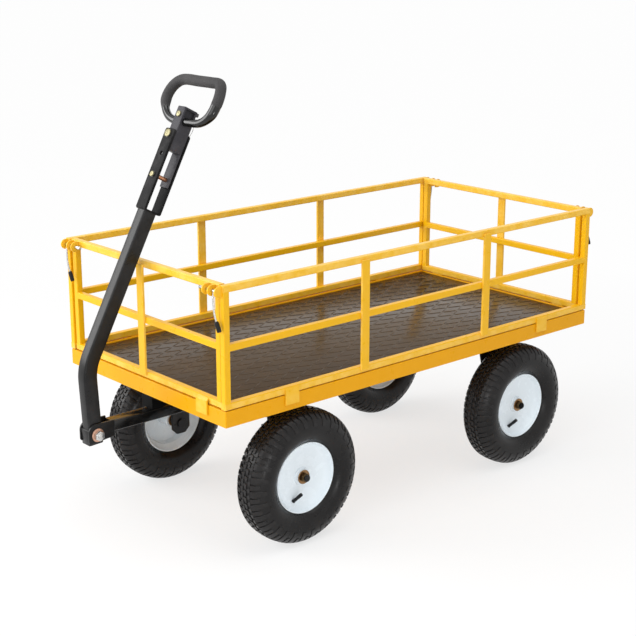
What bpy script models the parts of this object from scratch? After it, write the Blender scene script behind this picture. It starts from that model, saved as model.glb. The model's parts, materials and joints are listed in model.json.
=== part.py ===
"""Steel utility wagon: bed tray with four lift-out panels, steered front wheels and a folding handle."""
import math

import bmesh
import bpy
from mathutils import Matrix, Vector

mm = 0.001

# clearances
touch_gap = 0.3 * mm      # between pieces that bear on each other
pin_gap = 0.3 * mm        # round a pin in its hole, on the radius
swing_gap = 0.8 * mm      # beside a piece that turns between two plates
overrun = 2 * mm          # how far a cut runs past a face
weld = 1 * mm             # how far two welded shapes run into each other

# bed tray and deck
bed_length = 1250 * mm
bed_width = 629 * mm
skirt_gap = 24 * mm        # from the tyres up to the skirt
skirt_height = 38.6 * mm
skirt_wall = 3 * mm
lip_width = 19 * mm
floor_thick = 3 * mm
liner_thick = 7 * mm
liner_drop = 2 * mm

# panels
tube_side = 16 * mm
panel_height = 283 * mm
panel_lift = 2 * mm
mid_rail_rise = 141.4 * mm
end_panel_inset = 3.2 * mm
corner_gap = 4 * mm
bar_width = 24 * mm
bar_thick = 5.5 * mm
bar_top_drop = 8 * mm
bar_foot_rise = 8 * mm
tab_width = 40 * mm
tab_thick = 4.7 * mm
tab_reach = 23.5 * mm
side_bar_share = 0.336     # of half a panel's run
side_tab_share = 0.6976
end_tab_share = 0.7836

# slide bolts at the panel corners
lug_radius = 12.5 * mm
lug_thick = 4 * mm
lug_drop = 13.6 * mm
lug_reach = 10.5 * mm
lug_places = (52 * mm, 32 * mm)
keeper_place = 8 * mm
bolt_radius = 4 * mm
bolt_inner = 74.5 * mm
keeper_wall = 1 * mm      # left closed at the end of the keeper's bore
wire_radius = 2.5 * mm
wire_place = 26 * mm
wire_drop = 66 * mm
wire_kick = 1 * mm
wire_spread = 11 * mm
sleeve_spread = 20 * mm
sleeve_radius = 5.5 * mm
sleeve_length = 23 * mm

# wheels
tyre_radius = 165 * mm
tyre_width = 94 * mm
bead_radius = 86 * mm
rim_flange = 4 * mm
rim_wall = 4 * mm
bead_rise = 6 * mm
rim_well = 72 * mm
rim_half_width = 31 * mm
rim_disc_out = 12 * mm
hub_radius = 21 * mm
hub_inner = 34 * mm
hub_outer = 21 * mm
axle_radius = 8 * mm
front_setback = 247 * mm   # from the end of the bed to the axle
rear_setback = 237 * mm
track = 533.5 * mm
nut_radius = 13 * mm
nut_thick = 9 * mm
washer_radius = 17 * mm
washer_thick = 2.5 * mm
axle_end = 4 * mm
tyre_shares = ((0, 0), (0.025, 0.55), (0.13, 0.86), (0.38, 1), (0.68, 0.94))  # down the wall, across
rim_lip_share = 0.6
hub_neck_share = 0.7

# underframe
rail_width = 30 * mm
rail_place = 115 * mm
rail_front_inset = 7 * mm
rail_overhang = 42 * mm
cross_width = 60 * mm
block_width = 42 * mm
block_length = 44 * mm

# front axle and knuckles
beam_width = 36 * mm
pedestal_height = 32 * mm
beam_height = 36 * mm
pedestal_half = 48 * mm
king_inset = 25 * mm
king_radius = 8 * mm
bush_radius = 16 * mm
bush_rise = 4 * mm
bush_drop = 17 * mm
flange_thick = 6 * mm
knuckle_half = 27 * mm
knuckle_foot = 28 * mm
knuckle_bevel = 14 * mm
knuckle_plate = 6 * mm
knuckle_inset = 61.75 * mm
arm_length = 90 * mm
arm_spread = 16 * mm
arm_thick = 4.5 * mm
arm_clear = 1.5 * mm
arm_end_radius = 11 * mm
arm_root_radius = 14 * mm
link_pin_radius = 4 * mm
eye_radius = 11 * mm
eye_thick = 12 * mm
link_rod_radius = 3.7 * mm
link_rod_rise = 8.2 * mm

# rear axle frame
leg_inset = 65.75 * mm
leg_thick = 6 * mm
leg_top_half = 70 * mm
leg_foot_half = 33 * mm
leg_foot_drop = 26 * mm
rear_beam_width = 40 * mm
rear_beam_height = 30 * mm

# drawbar
pin_setback = 25 * mm
pin_radius = 8 * mm
pin_washer_radius = 18 * mm
pin_washer_thick = 2.5 * mm
drawbar_width = 31 * mm
drawbar_height = 27 * mm
drawbar_drop = 39 * mm
drawbar_gap = 43 * mm      # from its front end to the handle's pivot
drawbar_tail = 20 * mm
ear_thick = 5 * mm
ear_radius = 23 * mm
ear_length = 80 * mm
riser_half_length = 12 * mm

# handle
pivot_reach = 145 * mm     # in front of the bed
pivot_rise = 4.5 * mm
pivot_radius = 6 * mm
pivot_head_radius = 16 * mm
pivot_head_thick = 4 * mm
pivot_nut_radius = 10 * mm
pivot_nut_thick = 8 * mm
handle_width = 29.5 * mm
handle_depth = 36 * mm
foot_length = 24.5 * mm
shin_length = 158.3 * mm
shin_lean = math.radians(-3)
shaft_lean = math.radians(28)
shaft_length = 381.5 * mm
fork_base_thick = 4 * mm
fork_length = 192.7 * mm
fork_width = 35 * mm
fork_plate = 4 * mm
fork_front_extra = 3 * mm  # the front plate is this much thicker
fork_corner = 6 * mm
fork_rear_gap = 6 * mm     # rear plate behind the tube's rear face
low_bolt_run = 84 * mm     # runs are from the end of the tube
mid_hole_run = 136.5 * mm
top_bolt_run = 184.5 * mm
fork_bolt_radius = 5 * mm
bolt_head_radius = 9.5 * mm
bolt_head_thick = 5 * mm
low_head_radius = 6.5 * mm

# grip
tongue_run = 67 * mm
head_start_run = 149 * mm
head_end_run = 255 * mm
head_width = 30 * mm
tongue_thick = 5.5 * mm
hook_height = 10 * mm
hook_reach = 8 * mm
hook_width = 24 * mm
loop_radius = 9.5 * mm
foam_radius = 14 * mm
loop_half_width = 95.5 * mm
loop_run = 222 * mm
loop_height = 101 * mm
loop_shift = 6 * mm
loop_shares = ((0, 0), (0.30, 0), (0.62, 0.07), (0.88, 0.255), (1, 0.5), (0.945, 0.75),
               (0.76, 0.93), (0.5, 1), (0, 1))  # across, up
foam_start_share = 0.245

# facets
wheel_steps = 32
hub_steps = 20
round_steps = 16
thin_steps = 12
link_steps = 9
hex_steps = 6
loop_steps = 2

# worked out
half_length = bed_length / 2
half_width = bed_width / 2
skirt_base = 2 * tyre_radius + skirt_gap
skirt_top = skirt_base + skirt_height
liner_top = skirt_top - liner_drop
floor_top = liner_top - liner_thick - touch_gap
floor_base = floor_top - floor_thick
rail_base = skirt_top + panel_lift
panel_top = rail_base + panel_height
mid_rail_height = rail_base + mid_rail_rise
rim_radius = bead_radius + rim_flange
front_axle = half_length - front_setback
rear_axle = rear_setback - half_length
wheel_place = track / 2
knuckle_face = wheel_place - knuckle_inset
king_place = knuckle_face - king_inset
leg_place = wheel_place - leg_inset
rail_front = half_length - rail_front_inset
rail_back = rail_overhang - rear_axle
beam_top = skirt_base - pedestal_height
beam_base = beam_top - beam_height
bush_top = beam_top + bush_rise
bush_base = beam_base - bush_drop
arm_base = bush_top + arm_clear
pin_place = half_length - pin_setback
drawbar_top = skirt_base - drawbar_drop
drawbar_base = drawbar_top - drawbar_height
pivot_place = half_length + pivot_reach
pivot_height = drawbar_base + pivot_rise
drawbar_front = pivot_place - drawbar_gap
ear_back = pivot_place - ear_length
fork_start = shaft_length + fork_base_thick + touch_gap
fork_end = fork_start + fork_length
low_bolt_place = shaft_length + low_bolt_run
mid_hole_place = shaft_length + mid_hole_run
top_bolt_place = shaft_length + top_bolt_run
loop_base = shaft_length + loop_run
shaft_foot = Vector((pivot_place - math.sin(shin_lean) * shin_length, 0,
                     pivot_height + math.cos(shin_lean) * shin_length))
shaft_axis = Vector((-math.sin(shaft_lean), 0, math.cos(shaft_lean)))
shaft_front = Vector((math.cos(shaft_lean), 0, math.sin(shaft_lean)))
shin_axis = Vector((-math.sin(shin_lean), 0, math.cos(shin_lean)))
shin_front = Vector((math.cos(shin_lean), 0, math.sin(shin_lean)))

for thing in list(bpy.data.objects):
    bpy.data.objects.remove(thing)

scene = bpy.context.scene
partCollection = bpy.data.collections.new("utility_wagon")
toolCollection = bpy.data.collections.new("wagon_cutters")
scene.collection.children.link(partCollection)
scene.collection.children.link(toolCollection)

paints = {
    "yellow": ((0.93, 0.52, 0.03), 0.38, 0.0),
    "black": ((0.018, 0.018, 0.019), 0.42, 0.0),
    "white": ((0.80, 0.81, 0.82), 0.35, 0.0),
    "rubber": ((0.016, 0.016, 0.017), 0.80, 0.0),
    "zinc": ((0.62, 0.56, 0.42), 0.32, 1.0),
    "liner": ((0.055, 0.042, 0.036), 0.62, 0.0),
    "foam": ((0.022, 0.022, 0.023), 0.92, 0.0),
}


def material_for(name, kind):
    colour, rough, metal = paints[kind]
    mat = bpy.data.materials.new(name + "_" + kind)
    mat.use_nodes = True
    shader = mat.node_tree.nodes["Principled BSDF"]
    shader.inputs["Base Color"].default_value = (*colour, 1)
    shader.inputs["Roughness"].default_value = rough
    shader.inputs["Metallic"].default_value = metal
    return mat


def placed(thing, name, collection):
    for old in list(thing.users_collection):
        old.objects.unlink(thing)
    collection.objects.link(thing)
    thing.name = name
    thing.data.name = name
    return thing


def part(thing, name, kind):
    placed(thing, name, partCollection)
    thing.data.materials.clear()
    thing.data.materials.append(material_for(name, kind))
    return thing


def tool(thing):
    placed(thing, "tool_" + str(len(toolCollection.objects)), toolCollection)
    thing.hide_render = True
    thing.display_type = "WIRE"
    return thing


def block(low, high):
    low, high = Vector(low), Vector(high)
    bpy.ops.mesh.primitive_cube_add(size=1)
    thing = bpy.context.object
    thing.data.transform(Matrix.LocRotScale((low + high) / 2, None, high - low))
    return thing


def bar(start, end, radius, sides=round_steps):
    start, end = Vector(start), Vector(end)
    reach = end - start
    bpy.ops.mesh.primitive_cylinder_add(vertices=sides, radius=radius, depth=reach.length)
    thing = bpy.context.object
    turn = Vector((0, 0, 1)).rotation_difference(reach).to_matrix().to_4x4()
    thing.data.transform(Matrix.Translation((start + end) / 2) @ turn)
    return thing


def slab(outline, thick, centre, along, up, holes=()):
    """Flat plate from an outline, in the plane of two directions, centred on its thickness."""
    curve = bpy.data.curves.new("outline", "CURVE")
    curve.dimensions = "2D"
    curve.fill_mode = "BOTH"
    curve.extrude = thick / 2
    for ring in (outline, *holes):
        line = curve.splines.new("POLY")
        line.points.add(len(ring) - 1)
        for point, place in zip(line.points, ring):
            point.co = (place[0], place[1], 0, 1)
        line.use_cyclic_u = True
    shell = bpy.data.objects.new("outline", curve)
    scene.collection.objects.link(shell)
    bpy.context.view_layer.update()
    mesh = bpy.data.meshes.new_from_object(shell.evaluated_get(bpy.context.evaluated_depsgraph_get()))
    bpy.data.objects.remove(shell)
    along, up = Vector(along), Vector(up)
    frame = Matrix((along, up, along.cross(up))).transposed().to_4x4()
    frame.translation = centre
    mesh.transform(frame)
    return solid(mesh)


def solid(mesh):
    """Object from a mesh with doubles merged and its faces turned outward."""
    form = bmesh.new()
    form.from_mesh(mesh)
    bmesh.ops.remove_doubles(form, verts=form.verts, dist=touch_gap / 10)
    bmesh.ops.recalc_face_normals(form, faces=form.faces)
    form.to_mesh(mesh)
    form.free()
    thing = bpy.data.objects.new("solid", mesh)
    scene.collection.objects.link(thing)
    return thing


def route(points, radius, closed=False):
    """Round wire along a route."""
    curve = bpy.data.curves.new("route", "CURVE")
    curve.dimensions = "3D"
    curve.bevel_depth = radius
    curve.bevel_resolution = 2
    curve.use_fill_caps = True
    line = curve.splines.new("POLY")
    line.points.add(len(points) - 1)
    for point, place in zip(line.points, points):
        point.co = (*place, 1)
    line.use_cyclic_u = closed
    shell = bpy.data.objects.new("route", curve)
    scene.collection.objects.link(shell)
    bpy.context.view_layer.update()
    mesh = bpy.data.meshes.new_from_object(shell.evaluated_get(bpy.context.evaluated_depsgraph_get()))
    bpy.data.objects.remove(shell)
    return solid(mesh)


def turned(profile, centre, steps=wheel_steps):
    """Solid turned about the wheel's cross axis; the profile gives radius and outward offset."""
    form = bmesh.new()
    marks = [form.verts.new((radius, 0, out)) for radius, out in profile]
    for first, second in zip(marks, marks[1:] + marks[:1]):
        form.edges.new((first, second))
    mesh = bpy.data.meshes.new("turned")
    form.to_mesh(mesh)
    form.free()
    thing = bpy.data.objects.new("turned", mesh)
    scene.collection.objects.link(thing)
    screw = thing.modifiers.new("turn", "SCREW")
    screw.axis = "Z"
    screw.steps = steps
    screw.render_steps = steps
    screw.use_merge_vertices = True
    screw.merge_threshold = touch_gap / 10
    bpy.context.view_layer.update()
    made = bpy.data.meshes.new_from_object(thing.evaluated_get(bpy.context.evaluated_depsgraph_get()))
    bpy.data.objects.remove(thing)
    side = 1 if centre[1] > 0 else -1
    made.transform(Matrix.Translation(centre) @ Matrix.Rotation(-side * math.pi / 2, 4, "X"))
    return solid(made)


def combine(base, others, operation):
    for other in others:
        step = base.modifiers.new(operation.lower(), "BOOLEAN")
        step.operation = operation
        step.object = tool(other)
    return base


def join(base, *others):
    return combine(base, others, "UNION")


def cut(base, *others):
    return combine(base, others, "DIFFERENCE")


def ring(centre, radius, sides=round_steps):
    return [(centre[0] + radius * math.cos(2 * math.pi * i / sides),
             centre[1] + radius * math.sin(2 * math.pi * i / sides)) for i in range(sides)]


def hull_of_discs(first, first_radius, second, second_radius, sides=link_steps):
    """Outline round two discs, as of a link or an ear."""
    first, second = Vector(first), Vector(second)
    reach = second - first
    heading = math.atan2(reach.y, reach.x)
    spread = math.acos((first_radius - second_radius) / reach.length)
    arcs = ((second, second_radius, heading - spread, 2 * spread),
            (first, first_radius, heading + spread, 2 * math.pi - 2 * spread))
    points = []
    for centre, radius, start, sweep in arcs:
        for i in range(sides + 1):
            angle = start + sweep * i / sides
            points.append((centre.x + radius * math.cos(angle), centre.y + radius * math.sin(angle)))
    return points


def hang(things, name, place, parent=None):
    """Parent pieces to an empty that stands on their joint's axis."""
    empty = bpy.data.objects.new(name, None)
    partCollection.objects.link(empty)
    empty.empty_display_size = tube_side
    empty.location = place
    if parent:
        bpy.context.view_layer.update()
        empty.parent = parent
        empty.matrix_parent_inverse = parent.matrix_world.inverted()
    bpy.context.view_layer.update()
    for thing in things:
        thing.parent = empty
        thing.matrix_parent_inverse = empty.matrix_world.inverted()
    return empty


# bed tray: folded skirt with a lip all round and a floor
tray = part(block((-half_length, -half_width, skirt_base), (half_length, half_width, skirt_top)),
            "bed_tray", "yellow")
cut(tray,
    block((-half_length + skirt_wall, -half_width + skirt_wall, skirt_base - overrun),
          (half_length - skirt_wall, half_width - skirt_wall, floor_base)),
    block((-half_length + lip_width, -half_width + lip_width, floor_top),
          (half_length - lip_width, half_width - lip_width, skirt_top + overrun)))

liner_inset = lip_width + touch_gap
part(block((-half_length + liner_inset, -half_width + liner_inset, floor_top + touch_gap),
           (half_length - liner_inset, half_width - liner_inset, liner_top)), "deck_liner", "liner")

# underframe: two rails joined by cross pieces, with the block that carries the drawbar pin
rail_under = skirt_base + touch_gap
rail_over = floor_base - touch_gap
rail_in = rail_place - rail_width / 2
rail_out = rail_place + rail_width / 2
block_back = pin_place - block_length / 2
block_front = pin_place + block_length / 2 - overrun * 2
underframe = part(block((-rail_back, rail_in, rail_under), (rail_front, rail_out, rail_over)),
                  "underframe", "black")
join(underframe,
     block((-rail_back, -rail_out, rail_under), (rail_front, -rail_in, rail_over)),
     *[block((start, -rail_in - weld, rail_under + weld), (end, rail_in + weld, rail_over - weld))
       for start, end in ((front_axle - cross_width / 2, front_axle + cross_width / 2),
                          (rear_axle - cross_width / 2, rear_axle + cross_width / 2),
                          (block_back, block_front))],
     block((block_back + weld, -block_width / 2, drawbar_top + pin_washer_thick + 2 * touch_gap),
           (block_front - weld, block_width / 2, rail_under + 2 * weld)))
cut(underframe, bar((pin_place, 0, drawbar_top - overrun), (pin_place, 0, rail_over - 2 * weld),
                    pin_radius + pin_gap))

# pin that the drawbar turns on, with the washer between block and bar
pin_foot = drawbar_base - overrun
pin = part(bar((pin_place, 0, pin_foot), (pin_place, 0, rail_over - 3 * weld), pin_radius),
           "drawbar_pin", "zinc")
join(pin, bar((pin_place, 0, drawbar_top + touch_gap),
              (pin_place, 0, drawbar_top + touch_gap + pin_washer_thick), pin_washer_radius))

# front axle: beam with a bored bush at each end and a pedestal up to the underframe
beam_reach = king_place - bush_radius / 2
beam = part(block((front_axle - beam_width / 2, -beam_reach, beam_base),
                  (front_axle + beam_width / 2, beam_reach, beam_top)), "front_axle_beam", "black")
join(beam, block((front_axle - beam_width / 2 + weld, -pedestal_half, beam_top - weld),
                 (front_axle + beam_width / 2 - weld, pedestal_half, rail_under + weld - touch_gap)))
for side in (1, -1):
    join(beam, bar((front_axle, side * king_place, bush_base), (front_axle, side * king_place, bush_top),
                   bush_radius))
for side in (1, -1):
    cut(beam, bar((front_axle, side * king_place, bush_base - overrun),
                  (front_axle, side * king_place, bush_top + overrun), king_radius + pin_gap))

# rear axle frame: cross beam and a tapered leg with a stub axle on each side
leg_foot = tyre_radius - leg_foot_drop
leg_head = skirt_base - touch_gap
leg_bevel = knuckle_bevel
rear_frame = part(block((rear_axle - rear_beam_width / 2, -leg_place + weld, leg_head - rear_beam_height),
                        (rear_axle + rear_beam_width / 2, leg_place - weld, rail_under - 2 * touch_gap)),
                  "rear_axle_frame", "black")
leg_half_outline = [(leg_top_half, leg_head), (leg_foot_half, tyre_radius + leg_foot_half),
                    (leg_foot_half, leg_foot + leg_bevel), (leg_foot_half - leg_bevel, leg_foot)]
leg_outline = ([(rear_axle - out, height) for out, height in leg_half_outline]
               + [(rear_axle + out, height) for out, height in reversed(leg_half_outline)])
for side in (1, -1):
    join(rear_frame, slab(leg_outline, leg_thick, (0, side * (leg_place - leg_thick / 2), 0),
                          (1, 0, 0), (0, 0, 1)))
axle_reach = wheel_place + hub_outer + touch_gap + washer_thick + nut_thick + axle_end
axle_root = leg_place - leg_thick + weld
for side in (1, -1):
    join(rear_frame, bar((rear_axle, side * axle_root, tyre_radius), (rear_axle, side * axle_reach, tyre_radius),
                         axle_radius))


def panel(name, half_run, face, along, outward, bars, tabs, tab_step):
    """Lift-out panel: a welded lattice of square tube with flat bars and tabs on its outer face."""
    along, outward = Vector(along), Vector(outward)
    low, high = rail_base, panel_top
    mid_low, mid_high = mid_rail_height - tube_side / 2, mid_rail_height + tube_side / 2
    inner = half_run - tube_side
    up = Vector((0, 0, 1))

    def window(half, base, top):
        return [(-half, base), (half, base), (half, top), (-half, top)]

    def plate(run, half, near, far, base, top):
        corners = [along * (run - half) + outward * near + up * base,
                   along * (run + half) + outward * far + up * top]
        return block([min(a, b) for a, b in zip(*corners)], [max(a, b) for a, b in zip(*corners)])

    bays = [window(inner, low + tube_side, mid_low), window(inner, mid_high, high - tube_side)]
    middle = outward * (face - tube_side / 2)
    body = part(slab(window(half_run, low, high), tube_side, middle, along, up, bays), name, "yellow")

    for run in bars:
        join(body, plate(run, bar_width / 2, face - weld, face + bar_thick,
                         low + bar_foot_rise, high - bar_top_drop))
    for run in tabs:
        join(body, plate(run, tab_width / 2 - weld, face - weld, face + tab_step + tab_thick - weld / 2,
                         low + weld, low + tube_side - weld),
             plate(run, tab_width / 2, face + tab_step, face + tab_step + tab_thick, skirt_top - tab_reach,
                   low + tube_side - 2 * weld),
             plate(run, tab_width / 2 - weld, face - tube_side + weld, face - weld,
                   skirt_top + touch_gap, low + weld))
    return body


side_face = half_width + touch_gap
side_bar_place = half_length * side_bar_share
side_tab_place = half_length * side_tab_share
side_panels = {}
for side, name in ((1, "side_panel_left"), (-1, "side_panel_right")):
    side_panels[side] = panel(name, half_length, side_face, (side, 0, 0), (0, side, 0),
                              (-side_bar_place, side_bar_place), (-side_tab_place, side_tab_place), 0)
end_face = half_length - end_panel_inset
end_half = side_face - tube_side - corner_gap
end_tab_place = end_half * end_tab_share
end_panels = {}
for end, name in ((1, "end_panel_front"), (-1, "end_panel_rear")):
    end_panels[end] = panel(name, end_half, end_face, (0, end, 0), (end, 0, 0),
                            (0,), (-end_tab_place, end_tab_place), end_panel_inset + touch_gap)

# lugs and slide bolts at the four top corners
lug_height = panel_top - lug_drop
lug_centre = end_face + lug_reach
bore_end = keeper_place - lug_thick / 2 + keeper_wall
bolt_outer = bore_end + touch_gap
bolt_names = {(1, 1): "latch_front_left", (1, -1): "latch_front_right",
              (-1, 1): "latch_rear_left", (-1, -1): "latch_rear_right"}
for (end, side), name in bolt_names.items():
    axis_x = end * lug_centre

    def across(place):
        return side * (side_face - place)

    def lug(place, root):
        low_y, high_y = sorted((across(place - lug_thick / 2), across(place + lug_thick / 2)))
        low_x, high_x = sorted((end * root, axis_x))
        return (bar((axis_x, low_y, lug_height), (axis_x, high_y, lug_height), lug_radius),
                block((low_x, low_y, lug_height - lug_radius + 2 * weld),
                      (high_x, high_y, lug_height + lug_radius - 2 * weld)))

    bore = (axis_x, across(bolt_inner + overrun), lug_height), (axis_x, across(bore_end), lug_height)
    for place in lug_places:
        join(end_panels[end], *lug(place, end_face - weld))
    cut(end_panels[end], bar(*bore, bolt_radius + pin_gap))
    join(side_panels[side], *lug(keeper_place, half_length - weld))
    cut(side_panels[side], bar(*bore, bolt_radius + pin_gap))

    bolt = part(bar((axis_x, across(bolt_inner), lug_height), (axis_x, across(bolt_outer), lug_height),
                    bolt_radius), name, "zinc")
    wire_y = across(wire_place)
    wire_foot = (axis_x + end * wire_kick, wire_y + side * wire_spread, lug_height - wire_drop)
    sleeve_foot = (axis_x + end * wire_kick, wire_y + side * sleeve_spread,
                   lug_height - wire_drop - sleeve_length)
    join(bolt, route([(axis_x, wire_y, lug_height), wire_foot, sleeve_foot], wire_radius),
         bar(wire_foot, sleeve_foot, sleeve_radius, thin_steps))


def wheel(tag, place_x, side):
    """Tyre, rim and hub of one wheel, as turned forms."""
    centre = (place_x, side * wheel_place, tyre_radius)
    half = tyre_width / 2
    crown = tyre_radius
    depth = crown - bead_radius
    tyre_profile = [(crown - depth * down_share, half * across_share)
                    for down_share, across_share in tyre_shares]
    tyre_profile += [(bead_radius + bead_rise, rim_half_width - rim_wall + touch_gap),
                     (bead_radius, rim_half_width - rim_wall - touch_gap)]
    mirrored = [(radius, -out) for radius, out in reversed(tyre_profile[1:])]
    tyre = part(turned(tyre_profile + mirrored, centre), "tyre_" + tag, "rubber")
    seat = bead_radius - touch_gap
    lip = rim_wall * rim_lip_share
    bore = hub_radius + touch_gap
    rim_profile = [(rim_radius, rim_half_width), (rim_radius, rim_half_width - lip),
                   (seat, rim_half_width - rim_wall), (seat, -rim_half_width + rim_wall),
                   (rim_radius, -rim_half_width + lip), (rim_radius, -rim_half_width),
                   (seat - rim_wall, -rim_half_width), (seat - rim_wall, -rim_wall),
                   (rim_well, -rim_wall / 2),
                   (bore + rim_wall, rim_disc_out - rim_wall), (bore, rim_disc_out - rim_wall),
                   (bore, rim_disc_out), (bore + rim_wall, rim_disc_out),
                   (rim_well, rim_wall / 2), (seat - rim_wall, rim_disc_out),
                   (seat - rim_wall, rim_half_width)]
    rim = part(turned(rim_profile, centre), "rim_" + tag, "white")
    neck = hub_radius * hub_neck_share
    hub_bore = axle_radius + pin_gap
    shoulder = rim_disc_out + rim_wall
    hub_profile = [(hub_bore, hub_outer), (neck, hub_outer), (neck, shoulder), (hub_radius, shoulder),
                   (hub_radius, -hub_inner), (hub_bore, -hub_inner)]
    hub = part(turned(hub_profile, centre, hub_steps), "hub_" + tag, "zinc")
    return [tyre, rim, hub]


def axle_nut(tag, place_x, side):
    """Washer and nut on the end of an axle, drilled for it."""
    first = wheel_place + hub_outer + touch_gap
    spots = [side * out for out in (first, first + washer_thick, first + washer_thick + nut_thick)]
    nut = part(bar((place_x, spots[0], tyre_radius), (place_x, spots[1], tyre_radius), washer_radius),
               "axle_nut_" + tag, "zinc")
    join(nut, bar((place_x, spots[1] - side * weld, tyre_radius), (place_x, spots[2], tyre_radius),
                  nut_radius, hex_steps))
    cut(nut, bar((place_x, spots[0] - side * overrun, tyre_radius),
                 (place_x, spots[2] + side * overrun, tyre_radius), axle_radius + touch_gap))
    return nut


for side, tag in ((1, "rear_left"), (-1, "rear_right")):
    hang(wheel(tag, rear_axle, side), "spin_" + tag, (rear_axle, side * wheel_place, tyre_radius))
    axle_nut(tag, rear_axle, side)

# knuckles: flange under the bush, upright plate, stub axle and steering arm, with a tie rod to each
rods = {}
tail_x = pin_place - arm_length
eye_base = arm_base + arm_thick + touch_gap
eye_top = eye_base + eye_thick
for side, tag in ((1, "left"), (-1, "right")):
    king_y = side * king_place
    face_y = side * knuckle_face
    back_y = side * (knuckle_face - knuckle_plate)
    flange_top = bush_base - touch_gap
    foot = tyre_radius - knuckle_foot
    low_y, high_y = sorted((king_y - side * bush_radius, face_y - side * weld / 2))
    knuckle = part(block((front_axle - knuckle_half + weld, low_y, flange_top - flange_thick),
                         (front_axle + knuckle_half - weld, high_y, flange_top)), "knuckle_" + tag, "black")
    edge = [(knuckle_half, flange_top - weld), (knuckle_half, foot + knuckle_bevel),
            (knuckle_half - knuckle_bevel, foot)]
    upright = ([(front_axle - out, height) for out, height in edge]
               + [(front_axle + out, height) for out, height in reversed(edge)])
    join(knuckle, slab(upright, knuckle_plate, (0, (face_y + back_y) / 2, 0), (1, 0, 0), (0, 0, 1)),
         bar((front_axle, king_y, flange_top - flange_thick / 2),
             (front_axle, king_y, arm_base + arm_thick), king_radius),
         bar((front_axle, back_y + side * weld, tyre_radius), (front_axle, side * axle_reach, tyre_radius),
             axle_radius),
         bar((front_axle, back_y - side * bolt_head_thick, tyre_radius),
             (front_axle, back_y + side * weld, tyre_radius), nut_radius, hex_steps))
    arm_end = (front_axle - arm_length, side * (king_place + arm_spread))
    outline = hull_of_discs((front_axle, king_y), arm_root_radius, arm_end, arm_end_radius)
    if side < 0:
        outline = outline[::-1]
    arm = part(slab(outline, arm_thick, (0, 0, arm_base + arm_thick / 2), (1, 0, 0), (0, 1, 0),
                    [ring((front_axle, king_y), king_radius + touch_gap)]), "steering_arm_" + tag, "black")
    join(arm, bar((*arm_end, eye_base - touch_gap - weld), (*arm_end, eye_top + weld), link_pin_radius))
    nut = axle_nut("front_" + tag, front_axle, side)
    carrier = hang([knuckle, arm, nut], "steer_" + tag, (front_axle, king_y, bush_base))
    hang(wheel("front_" + tag, front_axle, side), "spin_front_" + tag,
         (front_axle, side * wheel_place, tyre_radius), carrier)

    # tie rod from the drawbar's tail to the steering arm
    tail_end = (tail_x, side * arm_spread)
    link = part(bar((*tail_end, eye_base), (*tail_end, eye_top), eye_radius), "tie_rod_" + tag, "black")
    join(link, bar((*arm_end, eye_base), (*arm_end, eye_top), eye_radius),
         bar((*tail_end, eye_base + link_rod_rise), (*arm_end, eye_base + link_rod_rise), link_rod_radius,
             thin_steps))
    cut(link, *[bar((*end, eye_base - overrun), (*end, eye_top + overrun), link_pin_radius + pin_gap)
                for end in (tail_end, arm_end)])
    rods[side] = (link, tail_end)

# drawbar: square tube on the pin, with a riser at its tail for the tie rods
drawbar_half = drawbar_width / 2
drawbar_back = tail_x - drawbar_tail
drawbar = part(block((drawbar_back, -drawbar_half, drawbar_base),
                     (drawbar_front, drawbar_half, drawbar_top)), "drawbar", "black")
riser_top = eye_base - touch_gap
join(drawbar, block((tail_x - riser_half_length, -arm_spread - eye_radius, drawbar_top - weld),
                    (tail_x + riser_half_length, arm_spread + eye_radius, riser_top)),
     *[bar((tail_x, side * arm_spread, riser_top - weld), (tail_x, side * arm_spread, eye_top + weld),
           link_pin_radius) for side in (1, -1)])
cut(drawbar, bar((pin_place, 0, drawbar_base - overrun), (pin_place, 0, drawbar_top + overrun),
                 pin_radius + pin_gap))
drawbar_pieces = [drawbar]
ear_face = drawbar_half + touch_gap
for side, tag in ((1, "left"), (-1, "right")):
    outline = hull_of_discs((ear_back, drawbar_base + drawbar_height / 2), drawbar_height / 2 - weld,
                            (pivot_place, pivot_height), ear_radius)
    drawbar_pieces.append(part(slab(outline, ear_thick, (0, side * (ear_face + ear_thick / 2), 0),
                                    (1, 0, 0), (0, 0, 1),
                                    [ring((pivot_place, pivot_height), pivot_radius + pin_gap)]),
                               "drawbar_ear_" + tag, "black"))


def on_pivot(start, end, radius, sides=round_steps):
    return bar((pivot_place, start, pivot_height), (pivot_place, end, pivot_height), radius, sides)


head_spot = ear_face + ear_thick + touch_gap
head_edge = head_spot + pivot_head_thick
pivot_bolt = part(on_pivot(-head_spot - pivot_nut_thick, head_spot + weld, pivot_radius),
                  "pivot_bolt", "zinc")
join(pivot_bolt, on_pivot(head_spot, head_edge, pivot_head_radius),
     on_pivot(head_edge - weld, head_edge + pivot_nut_thick, pivot_nut_radius, hex_steps),
     on_pivot(-head_edge, -head_spot, pivot_head_radius))
drawbar_pieces.append(pivot_bolt)
steer = hang(drawbar_pieces, "steer", (pin_place, 0, drawbar_base))
for link, end in rods.values():
    hang([link], "swing_" + link.name, (*end, eye_base), steer)


# handle: bent rectangular tube, its foot between the ears
def shaft_point(run, front, across=0):
    return shaft_foot + shaft_axis * run + shaft_front * front + Vector((0, across, 0))


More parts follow.
